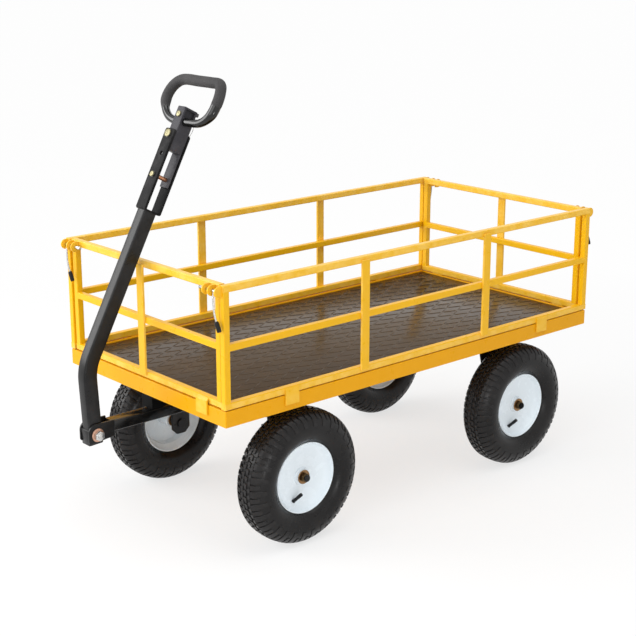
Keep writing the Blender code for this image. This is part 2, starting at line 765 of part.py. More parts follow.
half_depth = handle_depth / 2
pivot_point = Vector((pivot_place, 0, pivot_height))
foot_mid = pivot_point - shin_axis * foot_length
bend_front = (shin_front + shaft_front).normalized() * half_depth / math.cos((shaft_lean - shin_lean) / 2)
tube_end = shaft_point(shaft_length, 0)
outline = [foot_mid + shin_front * half_depth, shaft_foot + bend_front, tube_end + shaft_front * half_depth,
           tube_end - shaft_front * half_depth, shaft_foot - bend_front, foot_mid - shin_front * half_depth]
handle = part(slab([(point.x, point.z) for point in outline], handle_width, (0, 0, 0),
                   (1, 0, 0), (0, 0, 1)), "handle_tube", "black")
cut(handle, on_pivot(-handle_width, handle_width, pivot_radius + pin_gap))


def across_shaft(corners, width):
    """Block across the shaft, from its outline in the handle's upright plane."""
    points = [shaft_point(run, front) for run, front in corners]
    return slab([(point.x, point.z) for point in points], width, (0, 0, 0), (1, 0, 0), (0, 0, 1))


front_face = half_depth + touch_gap - fork_front_extra
front_plate = fork_plate + fork_front_extra
rear_face = half_depth + fork_rear_gap
base_front = front_face + front_plate
base_rear = rear_face + fork_plate
base_end = fork_start - touch_gap
join(handle, across_shaft([(shaft_length - weld, -base_rear), (base_end, -base_rear),
                           (base_end, base_front), (shaft_length - weld, base_front)], fork_width))

fork_half = fork_width / 2
plate_outline = [(fork_start, -fork_half), (fork_end - fork_corner, -fork_half),
                 (fork_end, -fork_half + fork_corner), (fork_end, fork_half - fork_corner),
                 (fork_end - fork_corner, fork_half), (fork_start, fork_half)]
fork_holes = [ring((place, 0), fork_bolt_radius + pin_gap)
              for place in (low_bolt_place, mid_hole_place, top_bolt_place)]
handle_pieces = [handle]
for offset, thick, tag in ((front_face + front_plate / 2, front_plate, "front"),
                           (-rear_face - fork_plate / 2, fork_plate, "rear")):
    handle_pieces.append(part(slab(plate_outline, thick, shaft_foot + shaft_front * offset,
                                   shaft_axis, (0, 1, 0), fork_holes), "fork_plate_" + tag, "black"))
bolt_front = base_front + touch_gap
bolt_rear = base_rear + touch_gap
for place, name, head_radius in ((low_bolt_place, "fork_bolt", low_head_radius),
                                 (top_bolt_place, "hitch_pin", bolt_head_radius)):
    bolt = part(bar(shaft_point(place, -bolt_rear - bolt_head_thick), shaft_point(place, bolt_front + weld),
                    fork_bolt_radius), name, "zinc")
    join(bolt, bar(shaft_point(place, bolt_front), shaft_point(place, bolt_front + bolt_head_thick),
                   head_radius),
         bar(shaft_point(place, -bolt_rear - bolt_head_thick), shaft_point(place, -bolt_rear),
             head_radius, hex_steps))
    handle_pieces.append(bolt)

# grip head: channel between the fork plates that the loop runs through, with a long rear tongue
head_front = front_face - swing_gap
head_rear = rear_face - swing_gap
tongue_start = shaft_length + tongue_run
head_start = shaft_length + head_start_run
head_end = shaft_length + head_end_run
head = part(across_shaft([(head_start, -head_rear), (head_end, -head_rear), (head_end, head_front),
                          (head_start, head_front)], head_width), "grip_head", "black")
tongue_front = tongue_thick - head_rear
hook_front = weld - head_rear
hook_rear = head_rear + hook_reach
tongue_rear = weld / 2 - head_rear
join(head, across_shaft([(tongue_start, tongue_rear), (head_start + weld, tongue_rear),
                         (head_start + weld, tongue_front), (tongue_start, tongue_front)],
                        head_width - weld),
     across_shaft([(head_end - hook_height, -hook_rear), (head_end - weld, -hook_rear),
                   (head_end - weld, hook_front), (head_end - hook_height, hook_front)], hook_width))
cut(head, *[bar(shaft_point(place, -handle_depth), shaft_point(place, handle_depth),
                fork_bolt_radius + pin_gap) for place in (low_bolt_place, mid_hole_place, top_bolt_place)])


def loop_points(count):
    """Closed smooth route through the grip's corner shares."""
    side = [(across_share * loop_half_width, loop_base + up_share * loop_height)
            for across_share, up_share in loop_shares]
    knots = side + [(-y, s) for y, s in reversed(side[1:-1])]
    total = len(knots)
    points = []
    for i in range(total):
        before, here, after, beyond = (Vector(knots[(i + k) % total]) for k in (-1, 0, 1, 2))
        for j in range(count):
            t = j / count
            spot = (2 * here + (after - before) * t + (2 * before - 5 * here + 4 * after - beyond) * t ** 2
                    + (3 * here - before - 3 * after + beyond) * t ** 3) / 2
            points.append(spot)
    return points


loop_route = [shaft_point(spot.y, 0, spot.x + loop_shift) for spot in loop_points(loop_steps)]
loop = part(route(loop_route, loop_radius, True), "grip_loop", "black")
cut(head, route(loop_route, loop_radius + touch_gap, True))
covered = [spot for spot in loop_points(loop_steps) if spot.y > loop_base + foam_start_share * loop_height]
covered = sorted(covered, key=lambda spot: math.atan2(spot.x, spot.y - loop_base))
foam_route = [shaft_point(spot.y, 0, spot.x + loop_shift) for spot in covered]
foam = part(route(foam_route, foam_radius), "grip_foam", "foam")
cut(foam, route(loop_route, loop_radius + touch_gap, True))
handle_pieces += [head, loop, foam]
hang(handle_pieces, "fold", pivot_point, steer)

# the middle of the whole part goes over the origin
bpy.context.view_layer.update()
graph = bpy.context.evaluated_depsgraph_get()
reach = []
for thing in partCollection.objects:
    if thing.type == "MESH":
        seen = thing.evaluated_get(graph)
        reach += [(seen.matrix_world @ vertex.co).x for vertex in seen.data.vertices]
middle = (min(reach) + max(reach)) / 2
for thing in scene.objects:
    if thing.parent is None:
        thing.location.x -= middle
print("middle", round(middle, 5))
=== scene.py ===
import json
import math

import bmesh
import bpy
from mathutils import Matrix, Vector

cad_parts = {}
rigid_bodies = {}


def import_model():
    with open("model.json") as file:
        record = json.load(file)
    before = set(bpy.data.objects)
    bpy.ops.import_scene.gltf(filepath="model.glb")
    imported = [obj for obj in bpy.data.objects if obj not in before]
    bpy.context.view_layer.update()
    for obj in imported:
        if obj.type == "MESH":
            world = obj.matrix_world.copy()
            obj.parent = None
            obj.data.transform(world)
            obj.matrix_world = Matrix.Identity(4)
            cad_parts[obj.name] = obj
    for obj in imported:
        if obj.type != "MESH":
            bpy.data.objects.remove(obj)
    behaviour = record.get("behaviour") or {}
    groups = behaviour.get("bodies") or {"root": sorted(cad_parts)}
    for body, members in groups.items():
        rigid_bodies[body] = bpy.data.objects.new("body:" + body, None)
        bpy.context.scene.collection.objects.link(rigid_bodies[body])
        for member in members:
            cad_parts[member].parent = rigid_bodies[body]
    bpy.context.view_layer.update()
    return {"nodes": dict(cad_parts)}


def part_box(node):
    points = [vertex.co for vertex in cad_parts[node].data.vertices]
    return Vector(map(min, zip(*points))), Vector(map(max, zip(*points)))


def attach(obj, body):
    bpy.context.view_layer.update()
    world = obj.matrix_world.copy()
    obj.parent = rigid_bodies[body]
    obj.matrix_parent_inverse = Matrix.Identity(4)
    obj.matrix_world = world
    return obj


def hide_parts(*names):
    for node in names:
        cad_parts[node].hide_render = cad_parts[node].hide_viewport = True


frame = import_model()
print("frame loaded")

# the photograph's camera, with x taken from the middle of the bed
photoCamera = {"place": (2.4025, 2.6339, 1.4474), "heading": -2.2939, "tilt": -0.2805,
               "lens": 79.98, "sensor": 36.0}

trayLow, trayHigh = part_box("bed_tray")
midX = (trayLow.x + trayHigh.x) / 2
wagonScene = bpy.context.scene
mm = 0.001
hair = 0.0005                        # how near its face an edge lies
clearFold, sharpFold = 0.9, 1.2      # radians between two faces


# hands


def deselectAll():
    for thing in bpy.context.view_layer.objects:
        thing.select_set(False)


def activate(thing):
    deselectAll()
    thing.select_set(True)
    bpy.context.view_layer.objects.active = thing


def applyPlace(thing):
    activate(thing)
    bpy.ops.object.transform_apply(location=True, rotation=True, scale=True)


def edit(thing):
    activate(thing)
    bpy.ops.object.mode_set(mode="EDIT")


def leave():
    bpy.ops.object.mode_set(mode="OBJECT")


def choose(kind, test):
    # selects the faces, edges or points of the open mesh that pass a test
    bpy.ops.mesh.select_mode(type=kind)
    bpy.ops.mesh.select_all(action="DESELECT")
    mesh = bpy.context.object.data
    form = bmesh.from_edit_mesh(mesh)
    form.normal_update()
    for item in {"FACE": form.faces, "EDGE": form.edges, "VERT": form.verts}[kind]:
        if test(item):
            item.select_set(True)
    bmesh.update_edit_mesh(mesh)


def chooseAll():
    bpy.ops.mesh.select_all(action="SELECT")


def pull(way):
    bpy.ops.mesh.extrude_region_move(TRANSFORM_OT_translate={"value": way})


def bevelChosen(width, segments):
    bpy.ops.mesh.bevel(offset=width, segments=segments, affect="EDGES")


def faceOut(merge=0.0):
    # turns all faces outwards, after points nearer than merge are made one
    chooseAll()
    if merge:
        bpy.ops.mesh.remove_doubles(threshold=merge)
    bpy.ops.mesh.normals_make_consistent(inside=False)


def middleOf(edge):
    return (edge.verts[0].co + edge.verts[1].co) / 2


def wayOf(edge):
    return (edge.verts[1].co - edge.verts[0].co).normalized()


def runsAlong(edge, axis):
    return abs(wayOf(edge)[axis]) > 0.999


def folds(edge, least=clearFold):
    return edge.calc_face_angle(0) > least


def addBlock(name, low, high):
    low, high = Vector(low), Vector(high)
    low, high = Vector(map(min, low, high)), Vector(map(max, low, high))
    deselectAll()
    bpy.ops.mesh.primitive_cube_add(size=1, location=(low + high) / 2, scale=high - low)
    thing = bpy.context.object
    thing.name = name
    applyPlace(thing)
    return thing


def bevelEdges(thing, test, width, segments=2):
    edit(thing)
    choose("EDGE", test)
    bevelChosen(width, segments)
    leave()
    return thing


def addTube(name, low, high, axis, radius=0.002, segments=3):
    # square tube: its four long edges are rounded
    return bevelEdges(addBlock(name, low, high), lambda edge: runsAlong(edge, axis), radius, segments)


def addRod(name, start, end, radius, sides=24, chamfer=0.0):
    start, end = Vector(start), Vector(end)
    reach = end - start
    deselectAll()
    turn = reach.to_track_quat("Z", "Y").to_euler()
    bpy.ops.mesh.primitive_cylinder_add(vertices=sides, radius=radius, depth=reach.length,
                                        location=(start + end) / 2, rotation=turn)
    thing = bpy.context.object
    thing.name = name
    applyPlace(thing)
    if chamfer:
        way = reach.normalized()
        edit(thing)
        choose("EDGE", lambda edge: len(edge.link_faces) == 2 and folds(edge, sharpFold)
               and abs(wayOf(edge).dot(way)) < 0.1)
        bevelChosen(chamfer, 2)
        leave()
    return thing


def drawLine(name, points, closed=False):
    # a line of points, drawn by extruding one point
    points = [Vector(point) for point in points]
    deselectAll()
    bpy.ops.mesh.primitive_plane_add(size=0.002, location=points[0])
    thing = bpy.context.object
    thing.name = name
    applyPlace(thing)
    edit(thing)
    bpy.ops.mesh.select_mode(type="VERT")
    chooseAll()
    bpy.ops.mesh.merge(type="CENTER")
    for before, after in zip(points, points[1:]):
        pull(after - before)
    if closed:
        first, last = points[0], points[-1]
        choose("VERT", lambda point: (point.co - first).length < 1e-6 or (point.co - last).length < 1e-6)
        bpy.ops.mesh.edge_face_add()
    leave()
    return thing


def addPlate(name, outline, thickness, bevel=0.0, segments=2):
    # a flat outline, filled and extruded by a thickness vector
    thing = drawLine(name, outline, closed=True)
    edit(thing)
    chooseAll()
    bpy.ops.mesh.edge_face_add()
    chooseAll()
    pull(Vector(thickness))
    faceOut()
    if bevel:
        choose("EDGE", lambda edge: folds(edge, 0.7))
        bevelChosen(bevel, segments)
    leave()
    return thing


def addTurned(name, outline, centre, axis, steps):
    # a closed outline turned right round an axis
    thing = drawLine(name, outline, closed=True)
    edit(thing)
    chooseAll()
    bpy.ops.mesh.spin(steps=steps, angle=math.tau, center=centre, axis=axis)
    faceOut(0.00002)
    leave()
    return thing


def joinAll(name, things):
    deselectAll()
    for thing in things:
        thing.select_set(True)
    bpy.context.view_layer.objects.active = things[0]
    bpy.ops.object.join()
    things[0].name = name
    return things[0]


def combine(thing, others, how):
    # cuts the others out of the thing, or welds them on
    for other in others:
        activate(thing)
        step = thing.modifiers.new("combine", "BOOLEAN")
        step.operation = how
        step.solver = "EXACT"
        step.object = other
        bpy.ops.object.modifier_apply(modifier=step.name)
        bpy.data.objects.remove(other)
    return thing


def copyPiece(thing, name, move):
    other = thing.copy()
    other.data = thing.data.copy()
    other.name = name
    other.data.transform(move)
    wagonScene.collection.objects.link(other)
    return other


def settle(thing, material, body, nodes=(), angle=35, flat=False):
    # last steps of each piece: shading, material, body and the solids it stands for
    activate(thing)
    bpy.ops.object.shade_smooth_by_angle(angle=math.radians(angle))
    if flat:
        # big faces stay flat, only the roundings between them are shaded round
        level = thing.modifiers.new("level", "WEIGHTED_NORMAL")
        level.keep_sharp = True
        level.weight = 100
    if material:
        thing.data.materials.clear()
        thing.data.materials.append(material)
    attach(thing, body)
    if nodes:
        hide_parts(*nodes)
    return thing


# finishes


def place(tree, kind, inputs=(), **settings):
    node = tree.nodes.new(kind)
    for key, value in settings.items():
        setattr(node, key, value)
    for key, value in dict(inputs).items():
        if isinstance(value, bpy.types.NodeSocket):
            tree.links.new(value, node.inputs[key])
        else:
            node.inputs[key].default_value = value
    return node


def startGroup(name, colours, values):
    # gives the group's tree, its inputs, the place on the piece and the surface's shape
    tree = bpy.data.node_groups.new(name, "ShaderNodeTree")
    sockets = [(label, "INPUT", "NodeSocketColor") for label in colours]
    sockets += [(label, "INPUT", "NodeSocketFloat") for label in values]
    sockets += [("Color", "OUTPUT", "NodeSocketColor"), ("Roughness", "OUTPUT", "NodeSocketFloat"),
                ("Height", "OUTPUT", "NodeSocketFloat")]
    for label, way, kind in sockets:
        made = tree.interface.new_socket(name=label, in_out=way, socket_type=kind)
        if label in values:
            made.default_value = values[label]
    spot = place(tree, "ShaderNodeTexCoord").outputs["Object"]
    return tree, tree.nodes.new("NodeGroupInput").outputs, spot, place(tree, "ShaderNodeNewGeometry").outputs


def endGroup(tree, colour, rough, height):
    place(tree, "NodeGroupOutput", {"Color": colour, "Roughness": rough, "Height": height})
    return tree


def noiseAt(tree, spot, scale, detail=3.0, roughness=0.5):
    settings = {"Vector": spot, "Scale": scale, "Detail": detail, "Roughness": roughness}
    return place(tree, "ShaderNodeTexNoise", settings).outputs["Fac"]


def spread(tree, value, low, high, outLow=0.0, outHigh=1.0):
    return place(tree, "ShaderNodeMapRange", {"Value": value, "From Min": low, "From Max": high,
                                              "To Min": outLow, "To Max": outHigh}).outputs["Result"]


def sums(tree, operation, first, second):
    return place(tree, "ShaderNodeMath", {0: first, 1: second}, operation=operation).outputs["Value"]


def blendColours(tree, share, first, second):
    return place(tree, "ShaderNodeMix", {0: share, 6: first, 7: second}, data_type="RGBA").outputs[2]


def linear(red, green, blue):
    # a colour given as it looks on a screen, 0 to 255
    parts = (channel / 255 for channel in (red, green, blue))
    return (*(part / 12.92 if part <= 0.04045 else ((part + 0.055) / 1.055) ** 2.4 for part in parts), 1.0)


def makeCoatGroup():
    # powder coat: slow change of tone, fine orange peel, a painted highlight on convex edges and a little dust on
    # top faces
    tree, given, spot, shape = startGroup("sprayedCoat", ("Base", "EdgeHighlight"),
                                          {"Dust": 0.0, "Gloss": 0.3, "HighlightShare": 0.4})
    slow = noiseAt(tree, spot, 5.0, 2.0)
    patch = noiseAt(tree, spot, 38.0, 4.0, 0.6)
    peel = noiseAt(tree, spot, 620.0, 2.0, 0.4)
    # painted highlight: convex edges, found by pointiness, are blended towards a paler edge colour
    edge = spread(tree, shape["Pointiness"], 0.52, 0.6)
    edge = sums(tree, "MULTIPLY", edge, spread(tree, patch, 0.4, 0.62, 0.3, 1.0))
    edge = sums(tree, "MULTIPLY", edge, given["HighlightShare"])
    tone = spread(tree, slow, 0.3, 0.7, 0.97, 1.03)
    toned = place(tree, "ShaderNodeHueSaturation", {"Value": tone, "Color": given["Base"]}).outputs["Color"]
    edgeHighlight = blendColours(tree, edge, toned, given["EdgeHighlight"])
    up = place(tree, "ShaderNodeSeparateXYZ", {"Vector": shape["Normal"]}).outputs["Z"]
    dusty = sums(tree, "MULTIPLY", spread(tree, up, 0.4, 1.0), spread(tree, patch, 0.4, 0.75))
    dusty = sums(tree, "MULTIPLY", dusty, given["Dust"])
    colour = blendColours(tree, dusty, edgeHighlight, (0.5, 0.47, 0.42, 1))
    rough = sums(tree, "ADD", given["Gloss"], spread(tree, patch, 0.3, 0.7, -0.04, 0.05))
    rough = sums(tree, "ADD", rough, sums(tree, "MULTIPLY", dusty, 0.5))
    return endGroup(tree, colour, rough, sums(tree, "ADD", peel, sums(tree, "MULTIPLY", patch, 0.25)))


def makeRubberGroup():
    # moulded rubber or plastic: fine grain, bloom in patches, paler on what stands out
    tree, given, spot, shape = startGroup("mouldedGrain", ("Base", "Bloom"),
                                          {"Grain": 400.0, "Gloss": 0.5, "Spread": 0.3})
    cloud = noiseAt(tree, spot, 14.0, 5.0, 0.6)
    grain = noiseAt(tree, spot, given["Grain"], 3.0, 0.6)
    share = sums(tree, "ADD", spread(tree, cloud, 0.4, 0.75), spread(tree, shape["Pointiness"], 0.5, 0.56))
    share = sums(tree, "MULTIPLY", share, given["Spread"])
    share = sums(tree, "ADD", share, spread(tree, grain, 0.35, 0.7, -0.04, 0.06))
    colour = blendColours(tree, share, given["Base"], given["Bloom"])
    rough = sums(tree, "ADD", given["Gloss"], spread(tree, cloud, 0.3, 0.7, -0.07, 0.1))
    return endGroup(tree, colour, rough, sums(tree, "ADD", grain, sums(tree, "MULTIPLY", cloud, 0.3)))


def makeMetalGroup():
    # plated steel: mottled plating, fine scratches, darker in hollows
    tree, given, spot, shape = startGroup("platedMetal", ("Base", "Stain"), {"Gloss": 0.3})
    mottle = noiseAt(tree, spot, 170.0, 4.0, 0.65)
    drawn = {"Vector": spot, "Scale": (60.0, 900.0, 900.0)}
    streak = place(tree, "ShaderNodeMapping", drawn).outputs["Vector"]
    scratch = noiseAt(tree, streak, 1.0, 2.0, 0.5)
    hollow = spread(tree, shape["Pointiness"], 0.5, 0.44)
    share = sums(tree, "ADD", spread(tree, mottle, 0.42, 0.75, 0.0, 0.7), hollow)
    colour = blendColours(tree, share, given["Base"], given["Stain"])
    rough = sums(tree, "ADD", given["Gloss"], spread(tree, scratch, 0.3, 0.7, -0.08, 0.1))
    return endGroup(tree, colour, rough, sums(tree, "ADD", scratch, mottle))


coatGroup = makeCoatGroup()
rubberGroup = makeRubberGroup()
metalGroup = makeMetalGroup()


def makeFinish(name, group, values, bump, bumpSize, **sockets):
    finish = bpy.data.materials.new(name)
    finish.use_nodes = True
    tree = finish.node_tree
    shader = tree.nodes["Principled BSDF"]
    source = place(tree, "ShaderNodeGroup", node_tree=group)
    for key, value in values.items():
        source.inputs[key].default_value = value
    raised = place(tree, "ShaderNodeBump", {"Strength": bump, "Distance": bumpSize,
                                            "Height": source.outputs["Height"]})
    tree.links.new(source.outputs["Color"], shader.inputs["Base Color"])
    tree.links.new(source.outputs["Roughness"], shader.inputs["Roughness"])
    tree.links.new(raised.outputs["Normal"], shader.inputs["Normal"])
    for key, value in sockets.items():
        shader.inputs[key.replace("_", " ")].default_value = value
    return finish


# the second colour and its share make a painted highlight on convex edges
def sprayed(name, base, edgeHighlight, dust, gloss, highlightShare, bump, shine, depth=0.0003):
    values = {"Base": base, "EdgeHighlight": edgeHighlight, "Dust": dust, "Gloss": gloss, "HighlightShare": highlightShare}
    return makeFinish(name, coatGroup, values, bump, depth, Specular_IOR_Level=shine)


def moulded(name, base, bloom, grain, gloss, share, bump, depth, shine, **sockets):
    values = {"Base": base, "Bloom": bloom, "Grain": grain, "Gloss": gloss, "Spread": share}
    return makeFinish(name, rubberGroup, values, bump, depth, Specular_IOR_Level=shine, **sockets)


def plated(name, base, stain, gloss, bump=0.1, metal=1.0):
    values = {"Base": base, "Stain": stain, "Gloss": gloss}
    return makeFinish(name, metalGroup, values, bump, 0.0002, Metallic=metal)


# base colour and the paler colour of the painted edge highlight, dust, gloss, share of the painted edge
# highlight, bump, shine
yellowCoat = sprayed("yellowCoat", (0.87, 0.47, 0.003, 1), (0.98, 0.66, 0.16, 1), 0.02, 0.3, 0.5, 0.1, 0.26)
trayCoat = sprayed("trayCoat", (0.82, 0.375, 0.002, 1), (0.9, 0.47, 0.03, 1), 0.02, 0.3, 0.25, 0.1, 0.14)
blackCoat = sprayed("blackCoat", linear(20, 20, 20), linear(58, 57, 58), 0.05, 0.3, 0.5, 0.12, 0.25)
whiteCoat = sprayed("whiteCoat", linear(238, 247, 253), linear(244, 250, 253), 0.02, 0.26, 0.3, 0.08, 0.4)
barBlack = sprayed("barBlack", linear(8, 8, 8), linear(40, 39, 38), 0.02, 0.15, 0.4, 0.06, 0.5)
# painted shade: a darker, matter copy of the black coat for the frame parts that sit in the shade under the bed
shadedFrameBlack = sprayed("shadedFrameBlack", linear(7, 7, 7), linear(24, 23, 23), 0.01, 0.5, 0.4, 0.12, 0.06)
forkBlack = sprayed("forkBlack", linear(12, 12, 13), linear(96, 94, 94), 0.01, 0.5, 0.5, 0.14, 0.08)
headBlack = sprayed("headBlack", linear(54, 53, 58), linear(122, 120, 122), 0.03, 0.44, 0.5, 0.14, 0.2)
glossBlack = sprayed("glossBlack", linear(8, 8, 8), linear(26, 26, 27), 0.01, 0.1, 0.3, 0.04, 0.5, 0.0002)
# base and bloom colour, grain, gloss, share of bloom, bump and its depth, shine
tyreRubber = moulded("tyreRubber", linear(20, 19, 19), linear(58, 56, 56), 420, 0.27, 0.25, 0.16, 0.0004, 0.2)
foamCells = moulded("foamCells", linear(44, 43, 44), linear(96, 94, 94), 900, 0.7, 0.3, 0.5, 0.0008, 0.3)
vinylBlack = moulded("vinylBlack", linear(14, 14, 15), linear(44, 44, 46), 500, 0.34, 0.12, 0.12, 0.0003, 0.25)
linerPlastic = moulded("linerPlastic", linear(54, 40, 24), linear(84, 65, 42), 260, 0.22, 0.3, 0.1, 0.0004,
                       0.11, Specular_Tint=(0.95, 0.7, 0.46, 1))
# base and stain colour, gloss, bump, share of metal
brightSteel = plated("brightSteel", linear(212, 212, 210), linear(150, 150, 148), 0.26)
yellowZinc = plated("yellowZinc", linear(160, 154, 122), linear(112, 100, 68), 0.5)
pinkZinc = plated("pinkZinc", linear(214, 172, 150), linear(166, 116, 92), 0.3)
copperZinc = plated("copperZinc", linear(206, 150, 116), linear(126, 76, 48), 0.3)
darkSteel = plated("darkSteel", linear(74, 73, 72), linear(44, 43, 42), 0.32, 0.12, 0.8)
bronze = plated("bronze", linear(152, 118, 82), linear(82, 60, 38), 0.32, 0.12)
oldBrass = plated("oldBrass", linear(92, 74, 48), linear(38, 29, 19), 0.34, 0.14, 0.9)
print("finishes made")


# wheels

tyreFacts = {
    "wall": ((162.6, 0), (162, 11), (160.5, 20), (157, 28), (151.6, 34.8), (144.8, 40.2), (137.2, 44),
             (129, 46), (120.5, 46.4), (112, 45.6), (105, 43.2), (98.6, 39.6), (93.6, 35.2), (90.2, 31.4),
             (88.2, 28.2), (86.2, 26.6), (85.2, 24)),
    "steps": 120,
    "count": 30,
    "lug": ((163, 22.4), (160.4, 27.6), (156.2, 32.8), (150.4, 38), (143.8, 42.2), (137, 45.2), (130.5, 46.9),
            (130.5, 44), (140, 40), (147.6, 34.6), (153.6, 28), (157.2, 22.4)),
    "shortLug": ((163, 22.4), (160.4, 27.6), (156.2, 32.8), (150.4, 38), (146.8, 40.6), (145.6, 36),
                 (153.6, 28), (157.2, 22.4)),
    "lugs": (("lug", 0, 15.5, 2.6), ("shortLug", 17.3, 11.6, 2.0)),
    "lugFoot": 152,
    "footShare": 0.7,
    "rows": ((164.8, 155, ((1.4, -4.6), (10.2, -7.4), (10.2, 4.2), (1.4, 7.2)), (0, 17.3)),
             (163.5, 154, ((12.6, -6.4), (21.4, -3.6), (21.4, 7.4), (12.6, 4.4)), (8.6, 25.9))),
    "bevel": 0.8,
    "bevelFrom": (146, 30),     # least radius and least way out of a lug's rounded edges
}
rimFacts = {
    "outline": ((87.6, 27.6), (87.9, 29.3), (87.2, 30.6), (85.8, 30.9), (84.8, 29.9), (83.9, 25.5),
                (81.6, 20.4), (78.4, 16.4), (75, 13.8), (71, 12.2), (66, 11.5), (55, 11.3), (44, 11.5),
                (36, 11.9), (29.5, 12.3), (25, 12.5), (21.1, 12.5), (21.1, 10.6), (29, 9.8), (44, 8.8), (55, 8.4),
                (66, 8.4), (69.5, 7),
                (70.4, 1), (71.8, -12), (79, -19), (82.4, -24.5), (83.9, -29.2), (85.1, -30.8), (86.8, -30.9),
                (87.9, -29.7), (87.6, -27.6), (85.4, -25.2), (81.0, -19.6), (74.6, -12), (73, 0), (74.2, 9.5),
                (80.2, 17.2), (84.6, 24.2)),
    "steps": 96,
}
hubFacts = {
    "outline": ((20.4, -34), (20.9, -33.4), (20.9, 12.6), (19.9, 15.2), (16.6, 16.6), (15, 17.6),
                (14.7, 20.3), (14, 20.9), (8.6, 20.9), (8.6, -34)),
    "steps": 48,
    "washer": ((17.2, 21.4), (17.4, 21.9), (17.3, 23.2), (16.6, 23.7), (8.4, 23.7), (8.4, 21.4)),
    "innerWasher": ((16.6, -36.9), (17.2, -36.3), (17.2, -34.8), (16.6, -34.2), (8.4, -34.2), (8.4, -36.9)),
    "spacer": ((11.8, -57), (12.4, -56.4), (12.4, -37.8), (11.8, -37.2), (8.4, -37.2), (8.4, -57)),
    "nutRadius": 11.6,
    "nutRun": (24.0, 32.4),
    "axleRun": (20, 36.6),
    "axleRadius": 7.2,
}
valveFacts = {"turn": -67, "radius": 64, "root": 12.4, "lean": 50,
              "parts": ((0.3, 2.6, 4.9), (1.4, 13.0, 4.1), (12.6, 15.4, 3.1), (15.0, 31.5, 4.3))}


def wheelMiddle(tag):
    low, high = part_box("tyre_" + tag)
    return (low + high) / 2


def atWheel(centre, radius, out, rise=0.0):
    return centre + Vector((radius, out, rise)) * mm


def buildTyre(centre):
    half = list(tyreFacts["wall"])
    outline = half + [(radius, -out) for radius, out in reversed(half[1:])]
    carcass = addTurned("tyre", [atWheel(centre, radius, out) for radius, out in outline], centre, (0, 1, 0),
                        tyreFacts["steps"])
    pitch = math.tau / tyreFacts["count"]
    crown = tyreFacts["wall"][0][0]
    bevel = tyreFacts["bevel"] * mm
    bevelHigh, bevelOut = (least * mm for least in tyreFacts["bevelFrom"])

    def turnedBy(thing, along, side):
        # along the tread is a turn about the axle; the far side's blocks lie a quarter step on
        angle = along / crown + (pitch / 4 if side < 0 else 0)
        turn = Matrix.Rotation(angle, 4, "Y")
        thing.data.transform(Matrix.Translation(centre) @ turn @ Matrix.Translation(-centre))
        return thing

    blocks = []
    for side in (1, -1):
        for shape, along, wide, shift in tyreFacts["lugs"]:
            outline = [atWheel(centre, radius, side * out, -wide / 2) for radius, out in tyreFacts[shape]]
            lug = addPlate("lug", outline, (0, 0, wide * mm))
            edit(lug)
            foot = centre.x + tyreFacts["lugFoot"] * mm
            choose("VERT", lambda point: point.co.x < foot)
            bpy.ops.transform.resize(value=(1, 1, tyreFacts["footShare"]), center_override=centre)
            bpy.ops.transform.translate(value=(0, 0, side * shift * mm))
            choose("EDGE", lambda edge: folds(edge) and middleOf(edge).x > centre.x + bevelHigh
                   and abs(middleOf(edge).y - centre.y) > bevelOut)
            bevelChosen(bevel, 1)
            leave()
            blocks.append(turnedBy(lug, along, side))
        for top, root, corners, places in tyreFacts["rows"]:
            for along in places:
                block = addPlate("block", [atWheel(centre, root, side * out, rise) for out, rise in corners],
                                 ((top - root) * mm, 0, 0))
                bevelEdges(block, lambda edge: middleOf(edge).x > centre.x + (top - 0.1) * mm, bevel, 1)
                blocks.append(turnedBy(block, along, side))
    tread = joinAll("tread", blocks)
    edit(tread)
    chooseAll()
    bpy.ops.mesh.spin(steps=tyreFacts["count"] - 1, dupli=True, angle=math.tau - pitch, center=centre,
                      axis=(0, 1, 0))
    faceOut()
    leave()
    return joinAll("tyre", [carcass, tread])


def buildRound(centre, facts, key="outline"):
    outline = [atWheel(centre, radius, out) for radius, out in facts[key]]
    return addTurned(key, outline, centre, (0, 1, 0), facts["steps"])


def buildNut(centre):
    near, far = hubFacts["nutRun"]
    nut = addRod("nut", atWheel(centre, 0, near), atWheel(centre, 0, far), hubFacts["nutRadius"] * mm, 6,
                 0.9 * mm)
    low, high = hubFacts["axleRun"]
    end = addRod("axleEnd", atWheel(centre, 0, low), atWheel(centre, 0, high), hubFacts["axleRadius"] * mm, 32,
                 1.0 * mm)
    return joinAll("nut", [nut, end])


def buildValve(centre):
    # rubber stem and cap: out of the disc, leaning in towards the hub
    angle, lean = math.radians(valveFacts["turn"]), math.radians(valveFacts["lean"])
    way = Vector((math.cos(angle), 0, math.sin(angle)))
    root = centre + (way * valveFacts["radius"] + Vector((0, valveFacts["root"], 0))) * mm
    reach = (way * -math.sin(lean) + Vector((0, math.cos(lean), 0))) * mm
    parts = [addRod("valve", root + reach * start, root + reach * end, radius * mm, 24, 0.6 * mm)
             for start, end, radius in valveFacts["parts"]]
    return joinAll("valve", parts)


firstTag = "front_left"
firstMiddle = wheelMiddle(firstTag)
wheelPieces = [
    (buildTyre(firstMiddle), "rubberTyre", "tyre_", "wheel_", tyreRubber, "rubber"),
    (buildRound(firstMiddle, rimFacts), "dishRim", "rim_", "wheel_", whiteCoat, "white"),
    (buildRound(firstMiddle, hubFacts), "hubTube", "hub_", "wheel_", whiteCoat, "white"),
    (buildValve(firstMiddle), "valveStem", "", "wheel_", vinylBlack, None),
    (buildRound(firstMiddle, hubFacts, "washer"), "axleWasher", "axle_nut_", "axle", bronze, "zinc"),
    (buildNut(firstMiddle), "axleEnd", "axle_nut_", "axle", oldBrass, "zinc"),
    (buildRound(firstMiddle, hubFacts, "innerWasher"), "innerWasher", "", "axle", bronze, None),
    (buildRound(firstMiddle, hubFacts, "spacer"), "axleSpacer", "", "axle", darkSteel, None),
]
axleBodies = {"front_left": "knuckle_left", "front_right": "knuckle_right",
              "rear_left": "bed", "rear_right": "bed"}
